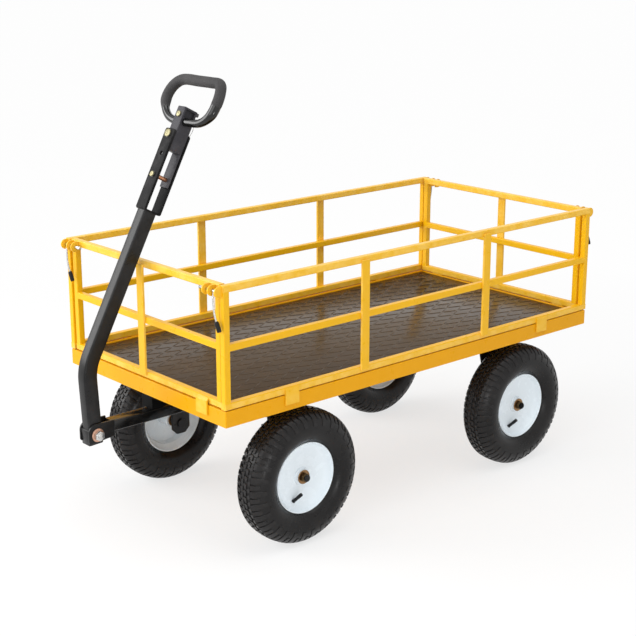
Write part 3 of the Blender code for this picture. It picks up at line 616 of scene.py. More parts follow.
for tag in ("front_right", "rear_left", "rear_right", firstTag):
    centre = wheelMiddle(tag)
    flip = centre.y * firstMiddle.y < 0
    mirrored = Matrix.Diagonal((1, -1 if flip else 1, 1, 1))
    move = Matrix.Translation(centre) @ mirrored @ Matrix.Translation(-firstMiddle)
    for made, label, node, body, finish, slotName in wheelPieces:
        piece = made
        if tag == firstTag:
            piece.name = label + "_" + tag
        else:
            piece = copyPiece(made, label + "_" + tag, move)
            if flip:
                piece.data.flip_normals()
        rides = axleBodies[tag] if body == "axle" else body + tag
        settle(piece, finish, rides, [node + tag] if node else ())
print("wheels built")


# bed

bedFacts = {"lip": 19, "wall": 3, "floor": 0.3833, "cornerRound": 2.6, "foldRound": 2.2, "bottomRound": 0.9}
linerFacts = {
    "plate": 1.5,           # of the top left to the raised ribs
    "spacing": 35,
    "angles": (29, -17),
    "ribLength": 38,
    "ribWide": (3.4, 1.6),
    "ribHigh": 0.8,
    "endBorder": 24,
    "sideBorder": 13,
}


def buildTray():
    low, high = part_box("bed_tray")
    lip = bedFacts["lip"] * mm
    wall = bedFacts["wall"] * mm
    tray = addBlock("bedTray", low, high)
    edit(tray)
    choose("FACE", lambda face: face.normal.z > 0.9)
    bpy.ops.mesh.inset(thickness=lip)
    pull((0, 0, bedFacts["floor"] - high.z))
    choose("FACE", lambda face: face.normal.z < -0.9)
    bpy.ops.mesh.inset(thickness=wall)
    pull((0, 0, bedFacts["floor"] - wall - low.z))
    choose("EDGE", lambda edge: runsAlong(edge, 2) and abs(middleOf(edge).y) > high.y - hair)
    bevelChosen(bedFacts["cornerRound"] * mm, 4)
    choose("EDGE", lambda edge: folds(edge, sharpFold) and middleOf(edge).z > high.z - hair)
    bevelChosen(bedFacts["foldRound"] * mm, 3)
    choose("EDGE", lambda edge: folds(edge, sharpFold) and middleOf(edge).z < low.z + hair)
    bevelChosen(bedFacts["bottomRound"] * mm, 2)
    leave()
    return tray


def buildLiner():
    low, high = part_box("deck_liner")
    top = high.z - linerFacts["plate"] * mm
    liner = addBlock("deckLiner", low, (high.x, high.y, top))
    bevelEdges(liner, lambda edge: middleOf(edge).z > top - hair and not runsAlong(edge, 2), 1.2 * mm, 2)
    wide, crest = linerFacts["ribWide"]
    long = linerFacts["ribLength"]
    spacing = linerFacts["spacing"] * mm
    firstAngle, otherAngle = (math.radians(angle) for angle in linerFacts["angles"])
    between = abs(firstAngle - otherAngle)
    side = spacing / math.sin(between)
    centre = Vector(((low.x + high.x) / 2, (low.y + high.y) / 2, top))
    wayOne = Vector((math.cos(firstAngle), math.sin(firstAngle), 0))
    wayTwo = Vector((math.cos(otherAngle), math.sin(otherAngle), 0))
    rib = addBlock("rib", (-long / 2 * mm, -wide / 2 * mm, -0.6 * mm),
                   (long / 2 * mm, wide / 2 * mm, linerFacts["ribHigh"] * mm))
    edit(rib)
    choose("VERT", lambda point: point.co.z > 0)
    bpy.ops.transform.resize(value=((long - wide + crest) / long, crest / wide, 1), center_override=(0, 0, 0))
    choose("EDGE", lambda edge: middleOf(edge).z > (linerFacts["ribHigh"] - 0.1) * mm)
    bevelChosen(0.3 * mm, 1)
    leave()
    ribs = []
    reach = int((high.x - low.x) / side) + 2
    for across in range(-reach, reach + 1):
        for along in range(-reach, reach + 1):
            corner = centre + (wayOne * across + wayTwo * along) * side
            for way, angle in ((wayOne, firstAngle), (wayTwo, otherAngle)):
                spot = corner + way * side / 2
                inside = (abs(spot.x - centre.x) <= (high.x - low.x) / 2 - linerFacts["endBorder"] * mm
                          and abs(spot.y - centre.y) <= (high.y - low.y) / 2 - linerFacts["sideBorder"] * mm)
                if inside:
                    move = Matrix.Translation(spot) @ Matrix.Rotation(angle, 4, "Z")
                    ribs.append(copyPiece(rib, "rib", move))
    bpy.data.objects.remove(rib)
    return joinAll("deckLiner", [liner] + ribs)


settle(buildTray(), trayCoat, "bed", ["bed_tray"], flat=True)
settle(buildLiner(), linerPlastic, "bed", ["deck_liner"])
print("bed built")


# panels

panelFacts = {
    "tube": 16, "round": 2.2, "barWide": 24, "barThick": 5.5, "barTop": 8, "barFoot": 8,
    "tabWide": 40, "tabThick": 4.7, "tabShares": (0.45, 0.42, 0.55),
    "midRail": 141.4, "sideBar": 0.336, "sideTab": 0.6976, "endTab": 0.7836,
    "height": 283, "gap": 2, "tabDrop": 23.5, "endTabStep": 3.5, "sideOut": 0.3, "endIn": 3.2, "endShort": 20,
    "lugRadius": 12.5, "lugThick": 4, "lugDrop": 13.6, "lugReach": 10.5, "lugs": (52, 32), "keeper": 8,
    "postInset": 0.05, "midInset": 0.1, "postShort": 3,
}

bedHalfLength = (trayHigh.x - trayLow.x) / 2
bedHalfWidth = (trayHigh.y - trayLow.y) / 2
sideFace = bedHalfWidth + panelFacts["sideOut"] * mm
endFace = bedHalfLength - panelFacts["endIn"] * mm
endHalf = sideFace - panelFacts["endShort"] * mm
panelLow = trayHigh.z + panelFacts["gap"] * mm
panelHigh = panelLow + panelFacts["height"] * mm
tabFoot = trayHigh.z - panelFacts["tabDrop"] * mm
lugHeight = panelHigh - panelFacts["lugDrop"] * mm


def buildPanel(name, half, face, along, outward, bars, tabs, tabStep):
    # square tubes first, then flat bars, tabs and hooks on the outer face
    tube, low, high = panelFacts["tube"] * mm, panelLow, panelHigh
    along, outward, up = Vector(along), Vector(outward), Vector((0, 0, 1))
    runAxis = 0 if abs(along.x) > 0.5 else 1

    def corner(run, out, height):
        return along * run + outward * out + up * height + Vector((midX, 0, 0))

    def tubeBetween(runs, heights, axis, inset=0.0):
        return addTube("tube", corner(runs[0], face - tube + inset, heights[0]),
                       corner(runs[1], face - inset, heights[1]), axis, panelFacts["round"] * mm)

    middle = low + panelFacts["midRail"] * mm
    pieces = [tubeBetween((-half, half), (high - tube, high), runAxis),
              tubeBetween((-half, half), (low, low + tube), runAxis)]
    # no two tubes share a face: the posts end inside the rails and lie a hair inside their sides
    inset, short = panelFacts["postInset"] * mm, panelFacts["postShort"] * mm
    for end in (-1, 1):
        runs = (end * (half - inset), end * (half - tube))
        pieces.append(tubeBetween(runs, (low + short, high - short), 2, inset))
    reach, rise = half - tube / 2, tube / 2
    pieces.append(tubeBetween((-reach, reach), (middle - rise, middle + rise), runAxis,
                              panelFacts["midInset"] * mm))
    panel = combine(pieces[0], pieces[1:], "UNION")
    panel.name = name
    extra = []
    for run in bars:
        wide, thick = panelFacts["barWide"] * mm / 2, panelFacts["barThick"] * mm
        flat = addBlock("flatBar", corner(run - wide, face - 0.5 * mm, low + panelFacts["barFoot"] * mm),
                        corner(run + wide, face + thick, high - panelFacts["barTop"] * mm))
        start, reach = corner(0, 0, 0), face + thick - 0.2 * mm
        bevelEdges(flat, lambda edge: (middleOf(edge) - start).dot(outward) > reach or runsAlong(edge, 2),
                   1.1 * mm, 3)
        extra.append(flat)
    for run in tabs:
        # upright below, then leaning in over the tube's lower half
        wide, thick = panelFacts["tabWide"] * mm / 2, panelFacts["tabThick"] * mm
        near, far = face + tabStep, face + tabStep + thick
        upright, leaning, leanIn = panelFacts["tabShares"]
        tab = addBlock("tab", corner(run - wide, near, tabFoot), corner(run + wide, far, low + tube * upright))
        edit(tab)
        choose("FACE", lambda item: item.normal.z > 0.9)
        pull(up * tube * leaning - outward * (tabStep + thick * leanIn))
        leave()
        bevelEdges(tab, lambda edge: folds(edge), 0.9 * mm, 2)
        extra.append(tab)
        extra.append(addTube("hook", corner(run - wide + mm, face - tube + mm, low - 1.7 * mm),
                             corner(run + wide - mm, face - mm, low + mm), runAxis, 0.3 * mm, 1))
    return panel, extra


def buildLug(centre, root):
    # rounded ear that the slide bolt runs through
    radius, thick = panelFacts["lugRadius"] * mm, panelFacts["lugThick"] * mm
    steps, rootIn = 14, 1.2 * mm
    back = root - centre.x
    turn = 1 if back < 0 else -1
    arc = [Vector((turn * radius * math.sin(angle), 0, radius * math.cos(angle)))
           for angle in (math.pi * step / steps for step in range(steps + 1))]
    outline = [Vector((back, 0, radius - rootIn))] + arc + [Vector((back, 0, -radius + rootIn))]
    start = Vector(centre) - Vector((0, thick / 2, 0))
    return addPlate("lug", [start + point for point in outline], (0, thick, 0), 0.7 * mm)


sidePanels, endPanels = {}, {}
for side, name in ((1, "side_panel_left"), (-1, "side_panel_right")):
    bar, tab = bedHalfLength * panelFacts["sideBar"], bedHalfLength * panelFacts["sideTab"]
    sidePanels[side] = (name, buildPanel(name + "_tubes", bedHalfLength, sideFace, (1, 0, 0), (0, side, 0),
                                         (-bar, bar), (-tab, tab), 0))
for end, name in ((1, "end_panel_front"), (-1, "end_panel_rear")):
    tab = endHalf * panelFacts["endTab"]
    endPanels[end] = (name, buildPanel(name + "_tubes", endHalf, endFace, (0, 1, 0), (end, 0, 0), (0,),
                                       (-tab, tab), panelFacts["endTabStep"] * mm))
latchNames = {(1, 1): "latch_front_left", (1, -1): "latch_front_right",
              (-1, 1): "latch_rear_left", (-1, -1): "latch_rear_right"}
for end, side in latchNames:
    axisX = midX + end * (endFace + panelFacts["lugReach"] * mm)
    for inboard in panelFacts["lugs"]:
        spot = Vector((axisX, side * (sideFace - inboard * mm), lugHeight))
        endPanels[end][1][1].append(buildLug(spot, midX + end * (endFace - mm)))
    spot = Vector((axisX, side * (sideFace - panelFacts["keeper"] * mm), lugHeight))
    sidePanels[side][1][1].append(buildLug(spot, midX + end * (bedHalfLength - mm)))
for name, (panel, extra) in list(sidePanels.values()) + list(endPanels.values()):
    settle(joinAll(name + "_welded", [panel] + extra), yellowCoat, "bed", [name], flat=True)
print("panels built")


# slide bolts

latchFacts = {
    "bolt": 4, "inner": 74.5, "outer": 7.3, "wire": 2.4, "wirePlace": 26, "farPlace": 15,
    "drop": 66, "lean": 11, "sleeveLean": 20, "sleeve": 5.3, "sleeveLength": 23,
}


def between(first, second, third, fourth, t):
    # a point of the soft curve from the second point to the third
    return 0.5 * (2 * second + (third - first) * t + (2 * first - 5 * second + 4 * third - fourth) * t ** 2
                  + (3 * second - first - 3 * third + fourth) * t ** 3)


def smoothLine(points, steps):
    # a soft curve through the points
    points = [Vector(point) for point in points]
    padded = [points[0] * 2 - points[1]] + points + [points[-1] * 2 - points[-2]]
    line = []
    for four in zip(padded, padded[1:], padded[2:], padded[3:]):
        line += [between(*four, step / steps) for step in range(steps)]
    return line + [points[-1]]


def addPipe(name, points, radius, sides=16, closed=False, radii=None):
    # round bar along a line: a curve with a bevel, made a mesh
    curve = bpy.data.curves.new(name, "CURVE")
    curve.dimensions = "3D"
    curve.bevel_depth = radius
    curve.bevel_resolution = sides // 4
    curve.use_fill_caps = True
    run = curve.splines.new("POLY")
    run.points.add(len(points) - 1)
    for index, (spot, point) in enumerate(zip(run.points, points)):
        spot.co = (*point, 1)
        if radii:
            spot.radius = radii[index]
    run.use_cyclic_u = closed
    thing = bpy.data.objects.new(name, curve)
    wagonScene.collection.objects.link(thing)
    activate(thing)
    bpy.ops.object.convert(target="MESH")
    thing = bpy.context.object
    edit(thing)
    faceOut(0.00001)
    leave()
    thing.name = name
    return thing


# drop below the bolt, lean outboard and kick forward of each point of the wire; the sleeve covers its end
wireSteps, sleeveSpans = 4, 2
foot, tip = latchFacts["drop"], latchFacts["drop"] + latchFacts["sleeveLength"]
leaning = latchFacts["lean"]
latchLine = ((-2, 0, 0), (4, 0, 0.3), (foot * 0.34, leaning * 0.2, 2.6), (foot * 0.7, leaning * 0.55, 3.4),
             (foot, leaning, 2.2), ((foot + tip) / 2, leaning * 1.42, 1.6), (tip, latchFacts["sleeveLean"], 1))
for (end, side), name in latchNames.items():
    axisX = midX + end * (endFace + panelFacts["lugReach"] * mm)

    def across(inboard):
        return side * (sideFace - inboard * mm)

    bolt = addRod(name + "_bolt", (axisX, across(latchFacts["inner"]), lugHeight),
                  (axisX, across(latchFacts["outer"]), lugHeight), latchFacts["bolt"] * mm, 24, 0.8 * mm)
    # the far front wire hangs nearer its keeper and leans inboard, the others lean outboard
    far = (end, side) == (1, -1)
    hangs, way = (latchFacts["farPlace"], 1) if far else (latchFacts["wirePlace"], -1)
    wirePoints = smoothLine([(axisX + end * kick * mm, across(hangs + way * lean), lugHeight - drop * mm)
                             for drop, lean, kick in latchLine], wireSteps)
    wire = addPipe(name + "_wire", wirePoints, latchFacts["wire"] * mm, 16)
    settle(joinAll(name + "_rod", [bolt, wire]), brightSteel, "bed", [name])
    sleevePoints = wirePoints[-(sleeveSpans * wireSteps + 1):]
    radii = [0.84, 0.96] + [1.0] * (len(sleevePoints) - 4) + [0.95, 0.8]
    sleeve = addPipe(name + "_sleeve", sleevePoints, latchFacts["sleeve"] * mm, 20, radii=radii)
    settle(sleeve, vinylBlack, "bed")
print("slide bolts built")


# handle and grip

handleFacts = {
    "width": 29.5, "depth": 36, "round": 4.2, "wall": 2.5, "foot": 24.5, "shin": 158.3,
    "shinLean": -3, "shaftLean": 28, "shaft": 381.7, "bendRound": 115, "bendSteps": 12,
    "webTop": 12.5, "webOut": 2.6,
    "webHalf": 15.4, "hollow": 14,
}
forkFacts = {
    "start": 381.8, "end": 578.5, "frontThick": 7, "rearThick": 4, "front": 22.2, "rear": -27.9, "wide": 34.6,
    "corner": 6, "fold": 5,
    "bolts": (("fork_bolt", 465.5, 6.4), ("hitch_pin", 566, 9.4)), "hole": 518, "holeRadius": 5.3,
    "headThick": 4.6, "shank": 5,
}
gripFacts = {
    "tongue": (448.5, 532), "head": (530.6, 636.4), "headFront": 14.4, "headRear": -23.1, "headWide": 29.8,
    "tongueThick": 5.4, "hook": (626.6, 635.4), "hookOut": -31.1, "hookWide": 24, "taperStart": 590,
    "taperWide": 28,
    "pocket": (612, 631, -17, 9), "pocketDeep": 5, "swivel": (617, 6.9, 3.6),
    "loopRadius": 9.5, "foamRadius": 12.8, "loopBase": 603.5, "loopHalf": 95.5, "loopHeight": 101,
    "loopShift": 6,
    "loop": ((0, 0), (0.30, 0), (0.65, 0.035), (0.92, 0.225), (0.995, 0.5), (0.97, 0.79), (0.84, 0.985),
             (0.5, 1.003), (0, 1)),
    "farLoop": ((0.30, 0), (0.62, 0.07), (0.88, 0.255), (1, 0.5), (0.945, 0.75), (0.76, 0.93), (0.5, 1)),
    "foamFrom": 0.28, "farFoamFrom": 0.245,
    "boot": (0.02, 0.28, 12.3),
    "foamTaper": (0.755, 0.775, 0.805, 0.845, 0.885, 0.925, 0.96, 0.985),
}

pivotLow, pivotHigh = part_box("pivot_bolt")
pivot = Vector(((pivotLow.x + pivotHigh.x) / 2, 0, (pivotLow.z + pivotHigh.z) / 2))
shinLean, shaftLean = math.radians(handleFacts["shinLean"]), math.radians(handleFacts["shaftLean"])
shinAxis = Vector((-math.sin(shinLean), 0, math.cos(shinLean)))
shinFront = Vector((math.cos(shinLean), 0, math.sin(shinLean)))
shaftAxis = Vector((-math.sin(shaftLean), 0, math.cos(shaftLean)))
shaftFront = Vector((math.cos(shaftLean), 0, math.sin(shaftLean)))
bendPlace = pivot + shinAxis * handleFacts["shin"] * mm


def onShaft(run, front, across=0.0):
    return bendPlace + (shaftAxis * run + shaftFront * front + Vector((0, across, 0))) * mm


def onShin(run, front):
    return pivot + (shinAxis * run + shinFront * front) * mm


def shaftRod(name, run, near, far, radius, sides, chamfer=0.0, across=0.0):
    ends = (onShaft(run, out, across) for out in (near, far))
    return addRod(name, *ends, radius * mm, sides, chamfer * mm)


def shaftLine(*places):
    return [onShaft(run, front) for run, front in places]


def roundCorner(before, corner, after, radius, steps=5):
    # points of an arc that rounds a corner of an outline
    one, two = (before - corner).normalized(), (after - corner).normalized()
    half = math.acos(max(-1, min(1, one.dot(two)))) / 2
    reach = radius / math.tan(half)
    middle = corner + (one + two).normalized() * radius / math.sin(half)
    first, last = corner + one * reach - middle, corner + two * reach - middle
    sweep = first.angle(last)
    normal = first.cross(last).normalized()
    return [middle + Matrix.Rotation(sweep * step / steps, 3, normal) @ first for step in range(steps + 1)]


def acrossPlate(name, outline, half, bevel=0.0):
    # a plate across the wagon from an outline in the handle's upright plane
    side = Vector((0, half * mm, 0))
    return addPlate(name, [point - side for point in outline], side * 2, bevel * mm)


def buildHandle():
    half, wide = handleFacts["depth"] / 2, handleFacts["width"] / 2
    mitre = math.cos((shaftLean - shinLean) / 2)
    frontBend = bendPlace + (shinFront + shaftFront).normalized() * half * mm / mitre
    rearBend = bendPlace * 2 - frontBend
    foot, shaft = -handleFacts["foot"], handleFacts["shaft"]
    bend, steps = handleFacts["bendRound"], handleFacts["bendSteps"]
    outline = roundCorner(onShin(foot, half), frontBend, onShaft(shaft, half), (bend + half) * mm, steps)
    outline += [onShaft(shaft, half), onShaft(shaft, -half)]
    outline += roundCorner(onShaft(shaft, -half), rearBend, onShin(foot, -half), (bend - half) * mm, steps)
    tube = acrossPlate("handle", [onShin(foot, half)] + outline + [onShin(foot, -half)], wide)
    bevelEdges(tube, lambda edge: abs(middleOf(edge).y) > wide * mm - 0.0002
               and abs(wayOf(edge).dot(shinFront)) < 0.8,
               handleFacts["round"] * mm, 4)
    edit(tube)
    choose("FACE", lambda face: face.normal.dot(shinAxis) < -0.99)
    bpy.ops.mesh.inset(thickness=handleFacts["wall"] * mm)
    pull(shinAxis * handleFacts["hollow"] * mm)
    leave()
    # the doubler on the foot's front, between the ears
    out, top = half + handleFacts["webOut"], handleFacts["webTop"]
    webLine = [onShin(foot + 0.5, half - 4), onShin(foot + 0.5, out), onShin(top - 1, out),
               onShin(top + 1, out - 1), onShin(top + 2.6, half - 4)]
    web = acrossPlate("doubler", webLine, handleFacts["webHalf"], 0.7)
    return joinAll("handleTube", [tube, web])


def buildFork():
    # one strip folded to a U, welded on the end of the tube; its front leg is doubled
    start, end = forkFacts["start"], forkFacts["end"]
    front, rear, fold = forkFacts["front"], forkFacts["rear"], forkFacts["fold"]
    innerFront, innerRear = front - forkFacts["frontThick"], rear + forkFacts["rearThick"]
    wide, floor = forkFacts["wide"] / 2, start + forkFacts["rearThick"]
    outline = shaftLine((end, front))
    outline += roundCorner(*shaftLine((end, front), (start, front), (start, rear)), fold * mm)
    outline += roundCorner(*shaftLine((start, front), (start, rear), (end, rear)), fold * mm)
    outline += shaftLine((end, rear), (end, innerRear))
    outline += roundCorner(*shaftLine((end, innerRear), (floor, innerRear), (floor, innerFront)), 1.6 * mm, 3)
    outline += roundCorner(*shaftLine((floor, innerRear), (floor, innerFront), (end, innerFront)), 1.6 * mm, 3)
    outline += shaftLine((end, innerFront))
    fork = acrossPlate("fork", outline, wide)
    top = onShaft(end, 0)
    bevelEdges(fork, lambda edge: abs((middleOf(edge) - top).dot(shaftAxis)) < 0.0002
               and abs(abs(middleOf(edge).y) - wide * mm) < 0.0002, forkFacts["corner"] * mm, 5)
    bevelEdges(fork, lambda edge: folds(edge, sharpFold), 0.6 * mm, 2)
    hole = shaftRod("hole", forkFacts["hole"], rear - 5, front + 5, forkFacts["holeRadius"], 32)
    return combine(fork, [hole], "DIFFERENCE")


def buildBolt(name, run, head):
    front, rear = forkFacts["front"], forkFacts["rear"]
    thick, shank = forkFacts["headThick"], forkFacts["shank"]
    pieces = [shaftRod("bigHead", run, front + 1.3, front + thick + 0.2, head, 40, 1.1),
              shaftRod("nut", run, rear - thick - 0.3, rear - 0.3, head, 6, 0.9),
              shaftRod("tip", run, rear - thick - 1.4, rear - thick, shank, 24, 0.5),
              shaftRod("mark", run, front + thick - 0.3, front + thick + 0.8, head * 0.36, 24, 0.4)]
    return joinAll(name, pieces), shaftRod("shank", run, rear - 1, front + 1.2, shank, 28)


def buildHead():
    front, rear, wide = gripFacts["headFront"], gripFacts["headRear"], gripFacts["headWide"] / 2
    low, high = gripFacts["head"]
    taper = gripFacts["taperStart"]
    head = acrossPlate("gripHead", shaftLine((low, rear), (high, rear), (high, front), (low, front)), wide)
    edit(head)
    centre = onShaft(taper, 0)
    chooseAll()
    bpy.ops.mesh.bisect(plane_co=centre, plane_no=shaftAxis)
    choose("VERT", lambda point: (point.co - onShaft(high, 0)).dot(shaftAxis) > -0.0002
           and (point.co - centre).dot(shaftFront) > 0)
    narrow = gripFacts["taperWide"] / gripFacts["headWide"]
    bpy.ops.transform.resize(value=(1, narrow, 1), center_override=(0, 0, 0))
    leave()
    bevelEdges(head, lambda edge: folds(edge), 1.6 * mm, 3)
    # the folded sides stand a little inside the front and rear walls
    fromRun, toRun, fromOut, toOut = gripFacts["pocket"]
    deep = gripFacts["pocketDeep"]
    pockets = []
    for side in (1, -1):
        near, far = side * (wide - deep) * mm, side * (wide + 4) * mm
        corners = shaftLine((fromRun, fromOut), (toRun, fromOut), (toRun, toOut), (fromRun, toOut))
        corners = [point + Vector((0, near, 0)) for point in corners]
        pockets.append(addPlate("pocket", corners, (0, far - near, 0)))
    head = combine(head, pockets, "DIFFERENCE")
    tongueLow, tongueHigh = gripFacts["tongue"]
    thick = gripFacts["tongueThick"]
    tongueLine = shaftLine((tongueLow, rear + 0.5), (tongueHigh, rear + 0.5), (tongueHigh, rear + thick),
                           (tongueLow, rear + thick))
    tongue = acrossPlate("tongue", tongueLine, wide * 0.96, 0.8)
    hookLow, hookHigh = gripFacts["hook"]
    hookOut = gripFacts["hookOut"]
    hookLine = shaftLine((hookLow, rear + 2), (hookHigh, rear + 2), (hookHigh, hookOut),
                         (hookHigh - 8, hookOut), (hookLow, hookOut + 1.5), (hookLow, rear + 2))
    hook = acrossPlate("hook", hookLine, gripFacts["hookWide"] / 2, 0.8)
    return joinAll("gripHead", [head, tongue, hook])


def gripLine(steps):
    # closed smooth route through the grip's corner shares
    shares = list(gripFacts["loop"]) + [(-across, up) for across, up in reversed(gripFacts["farLoop"])]
    knots = [Vector((across * gripFacts["loopHalf"], gripFacts["loopBase"] + up * gripFacts["loopHeight"]))
             for across, up in shares]
    line = []
    for index in range(len(knots)):
        four = [knots[(index + offset) % len(knots)] for offset in (-1, 0, 1, 2)]
        line += [between(*four, step / steps) for step in range(steps)]
    return line


def asGrip(line):
    return [onShaft(spot.y, 0, spot.x + gripFacts["loopShift"]) for spot in line]


settle(buildHandle(), blackCoat, "handle", ["handle_tube"])
settle(buildFork(), forkBlack, "handle", ["fork_plate_front", "fork_plate_rear"])
for name, run, head in forkFacts["bolts"]:
    bolt, shank = buildBolt(name + "_zinc", run, head)
    settle(bolt, yellowZinc, "handle", [name])
    settle(shank, copperZinc, "handle", ())
    shank.name = name + "_shank"
    front = forkFacts["front"]
    washer = shaftRod(name + "_washer", run, front + 0.05, front + 1.3, head + 1.2, 40, 0.4)
    settle(washer, darkSteel, "handle", ())
settle(buildHead(), headBlack, "handle", ["grip_head"])

# the swivel bolt on the head's front wall, and the wire ring that hangs on its rear end
run, radius, thick = gripFacts["swivel"]
front, rear = gripFacts["headFront"], gripFacts["headRear"]
swivel = joinAll("swivelBolt", [
    shaftRod("swivelBolt", run, front - 0.6, front + thick, radius, 32, 1.2),
    shaftRod("mark", run, front + thick - 0.4, front + thick + 0.5, 2.2, 20, 0.3)])
settle(swivel, yellowZinc, "handle", ())
pinRun = run - 10
pinEnd = shaftRod("swivelPin", pinRun, rear + 1, rear - 8.5, 2.6, 20, 0.6, across=7)
settle(pinEnd, oldBrass, "handle", ())
ringSteps = 28
ringTurns = [math.tau * step / ringSteps for step in range(ringSteps)]
ringLine = [onShaft(pinRun - 13.5 + 14 * math.cos(turn), rear - 7 - 1.2 * math.sin(turn),
                    5 + 5.2 * math.sin(turn)) for turn in ringTurns]
settle(addPipe("swivelRing", ringLine, 0.7 * mm, 8, closed=True), brightSteel, "handle", ())

gripPath = gripLine(10)
bootFrom, bootTo, bootRadius = gripFacts["boot"]


def swellAt(spot):
    # the bare loop swells towards the foam, on one side only
    if spot.x <= 0:
        return 1
    rise = (spot.y - gripFacts["loopBase"]) / gripFacts["loopHeight"]
    share = max(0, min(1, (rise - bootFrom) / (bootTo - bootFrom)))
    return 1 + (bootRadius / gripFacts["loopRadius"] - 1) * share


loop = addPipe("gripLoop", asGrip(gripPath), gripFacts["loopRadius"] * mm, 28, closed=True,
               radii=[swellAt(spot) for spot in gripPath])
settle(loop, glossBlack, "handle", ["grip_loop"])
foamStart, farFoamStart = (gripFacts["loopBase"] + gripFacts[key] * gripFacts["loopHeight"]
                           for key in ("foamFrom", "farFoamFrom"))
covered = sorted((spot for spot in gripPath if spot.y > (foamStart if spot.x > 0 else farFoamStart)),
                 key=lambda spot: math.atan2(spot.x, spot.y - gripFacts["loopBase"]))
ends = list(gripFacts["foamTaper"])
foam = addPipe("gripFoam", asGrip(covered), gripFacts["foamRadius"] * mm, 32,
               radii=ends + [1.0] * (len(covered) - 2 * len(ends)) + ends[::-1])
settle(foam, foamCells, "handle", ["grip_foam"])
print("handle built")


# drawbar

drawbarFacts = {
    "half": 15.5, "height": 27, "round": 3.0, "wall": 2.6, "hollow": 30, "tailBack": 11, "riserHalf": 12,
    "pinSpread": 16, "pinShort": 13.3, "pinRadius": 8, "washer": 13, "washerThick": 2.5,
    "bigWasher": 16, "nut": 12.2, "bolt": 6.2,
    "ear": {"rear": -47, "top": 26, "low": -13.4, "front": 22.6, "topRound": 19, "footFront": -20.4,
            "footRound": 6},
}


def buildDrawbar():
    low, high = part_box("drawbar")
    half, top = drawbarFacts["half"] * mm, low.z + drawbarFacts["height"] * mm
    bar = addTube("drawbar", (low.x, -half, low.z), (high.x, half, top), 0, drawbarFacts["round"] * mm, 4)
    edit(bar)
    choose("FACE", lambda face: abs(face.normal.x) > 0.99)
    bpy.ops.mesh.inset(thickness=drawbarFacts["wall"] * mm, use_individual=True)
    boreArea = 20 * mm * 20 * mm        # the rim of wall left round each bore is less
    for way in (1, -1):
        choose("FACE", lambda face: face.normal.x * way > 0.99 and face.calc_area() > boreArea)
        pull((-way * drawbarFacts["hollow"] * mm, 0, 0))
    leave()
    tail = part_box("tie_rod_left")[1].x - drawbarFacts["tailBack"] * mm
    reach = drawbarFacts["riserHalf"] * mm
    riserTop = high.z - drawbarFacts["pinShort"] * mm
    riser = addBlock("riser", (tail - reach, low.y, top - mm), (tail + reach, high.y, riserTop))
    bevelEdges(riser, lambda edge: folds(edge, 1), 1.2 * mm, 2)
    apart = drawbarFacts["pinSpread"] * mm
    pins = [addRod("pin", (tail, y, top), (tail, y, high.z), 4 * mm, 24, 0.6 * mm) for y in (apart, -apart)]
    return joinAll("drawbarTube", [bar, riser] + pins)


def buildEar(side):
    # bracket cheek: square behind and at the foot, round at the top of its front
    low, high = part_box("drawbar_ear_left" if side > 0 else "drawbar_ear_right")
    ear = drawbarFacts["ear"]

    def spot(out, rise):
        return Vector((pivot.x + out * mm, low.y, pivot.z + rise * mm))

    foot, crown = spot(ear["front"], ear["footFront"]), spot(ear["front"], ear["top"])
    outline = [spot(ear["rear"], ear["top"])]
    outline += roundCorner(outline[0], crown, foot, ear["topRound"] * mm, 10)
    outline += roundCorner(crown, foot, spot(ear["rear"], ear["low"]), ear["footRound"] * mm, 5)
    outline += [spot(ear["rear"], ear["low"])]
    cheek = addPlate("ear", outline, (0, high.y - low.y, 0), 0.9 * mm, 3)
    # weld bead down its rear edge, on the bar's side
    beadY = (low.y + 0.6 * mm) if side > 0 else (high.y - 0.6 * mm)
    bead = addRod("bead", (spot(ear["rear"], 0).x, beadY, spot(0, ear["low"] + 3).z),
                  (spot(ear["rear"], 0).x, beadY, spot(0, 20).z), 2.2 * mm, 12, 0.6 * mm)
    return joinAll("ear", [cheek, bead])


def buildPin():
    low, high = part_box("drawbar_pin")
    x = (low.x + high.x) / 2
    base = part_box("drawbar")[0].z + drawbarFacts["height"] * mm
    shank = addRod("drawbarPin", (x, 0, low.z), (x, 0, high.z), drawbarFacts["pinRadius"] * mm, 32, 0.8 * mm)
    washer = addRod("washer", (x, 0, base + 0.3 * mm), (x, 0, base + (0.3 + drawbarFacts["washerThick"]) * mm),
                    drawbarFacts["washer"] * mm, 48, 0.6 * mm)
    return joinAll("drawbarPin", [shank, washer])


def buildPivot():
    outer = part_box("drawbar_ear_left")[1].y + 0.3 * mm

    def across(side, near, far, radius, sides, chamfer):
        # a round part from near to far beyond one ear's outer face
        ends = [pivot + Vector((0, side * (outer + out * mm), 0)) for out in (near, far)]
        ends.sort(key=lambda end: end.y)
        return addRod("pivotPart", *ends, radius * mm, sides, chamfer * mm)

    washers = [across(side, 0, 2.4, drawbarFacts["bigWasher"], 48, 0.6) for side in (1, -1)]
    near, far = Vector((0, outer + 10 * mm, 0)), Vector((0, outer + 15 * mm, 0))
    shank = addRod("pivotPart", pivot - near, pivot + far, drawbarFacts["bolt"] * mm, 24, 0.7 * mm)
    nuts = [across(side, 2.5, reach, drawbarFacts["nut"], 6, 0.9) for side, reach in ((1, 12.5), (-1, 7.9))]
    return joinAll("pivotWashers", washers), joinAll("pivotNuts", [shank] + nuts)


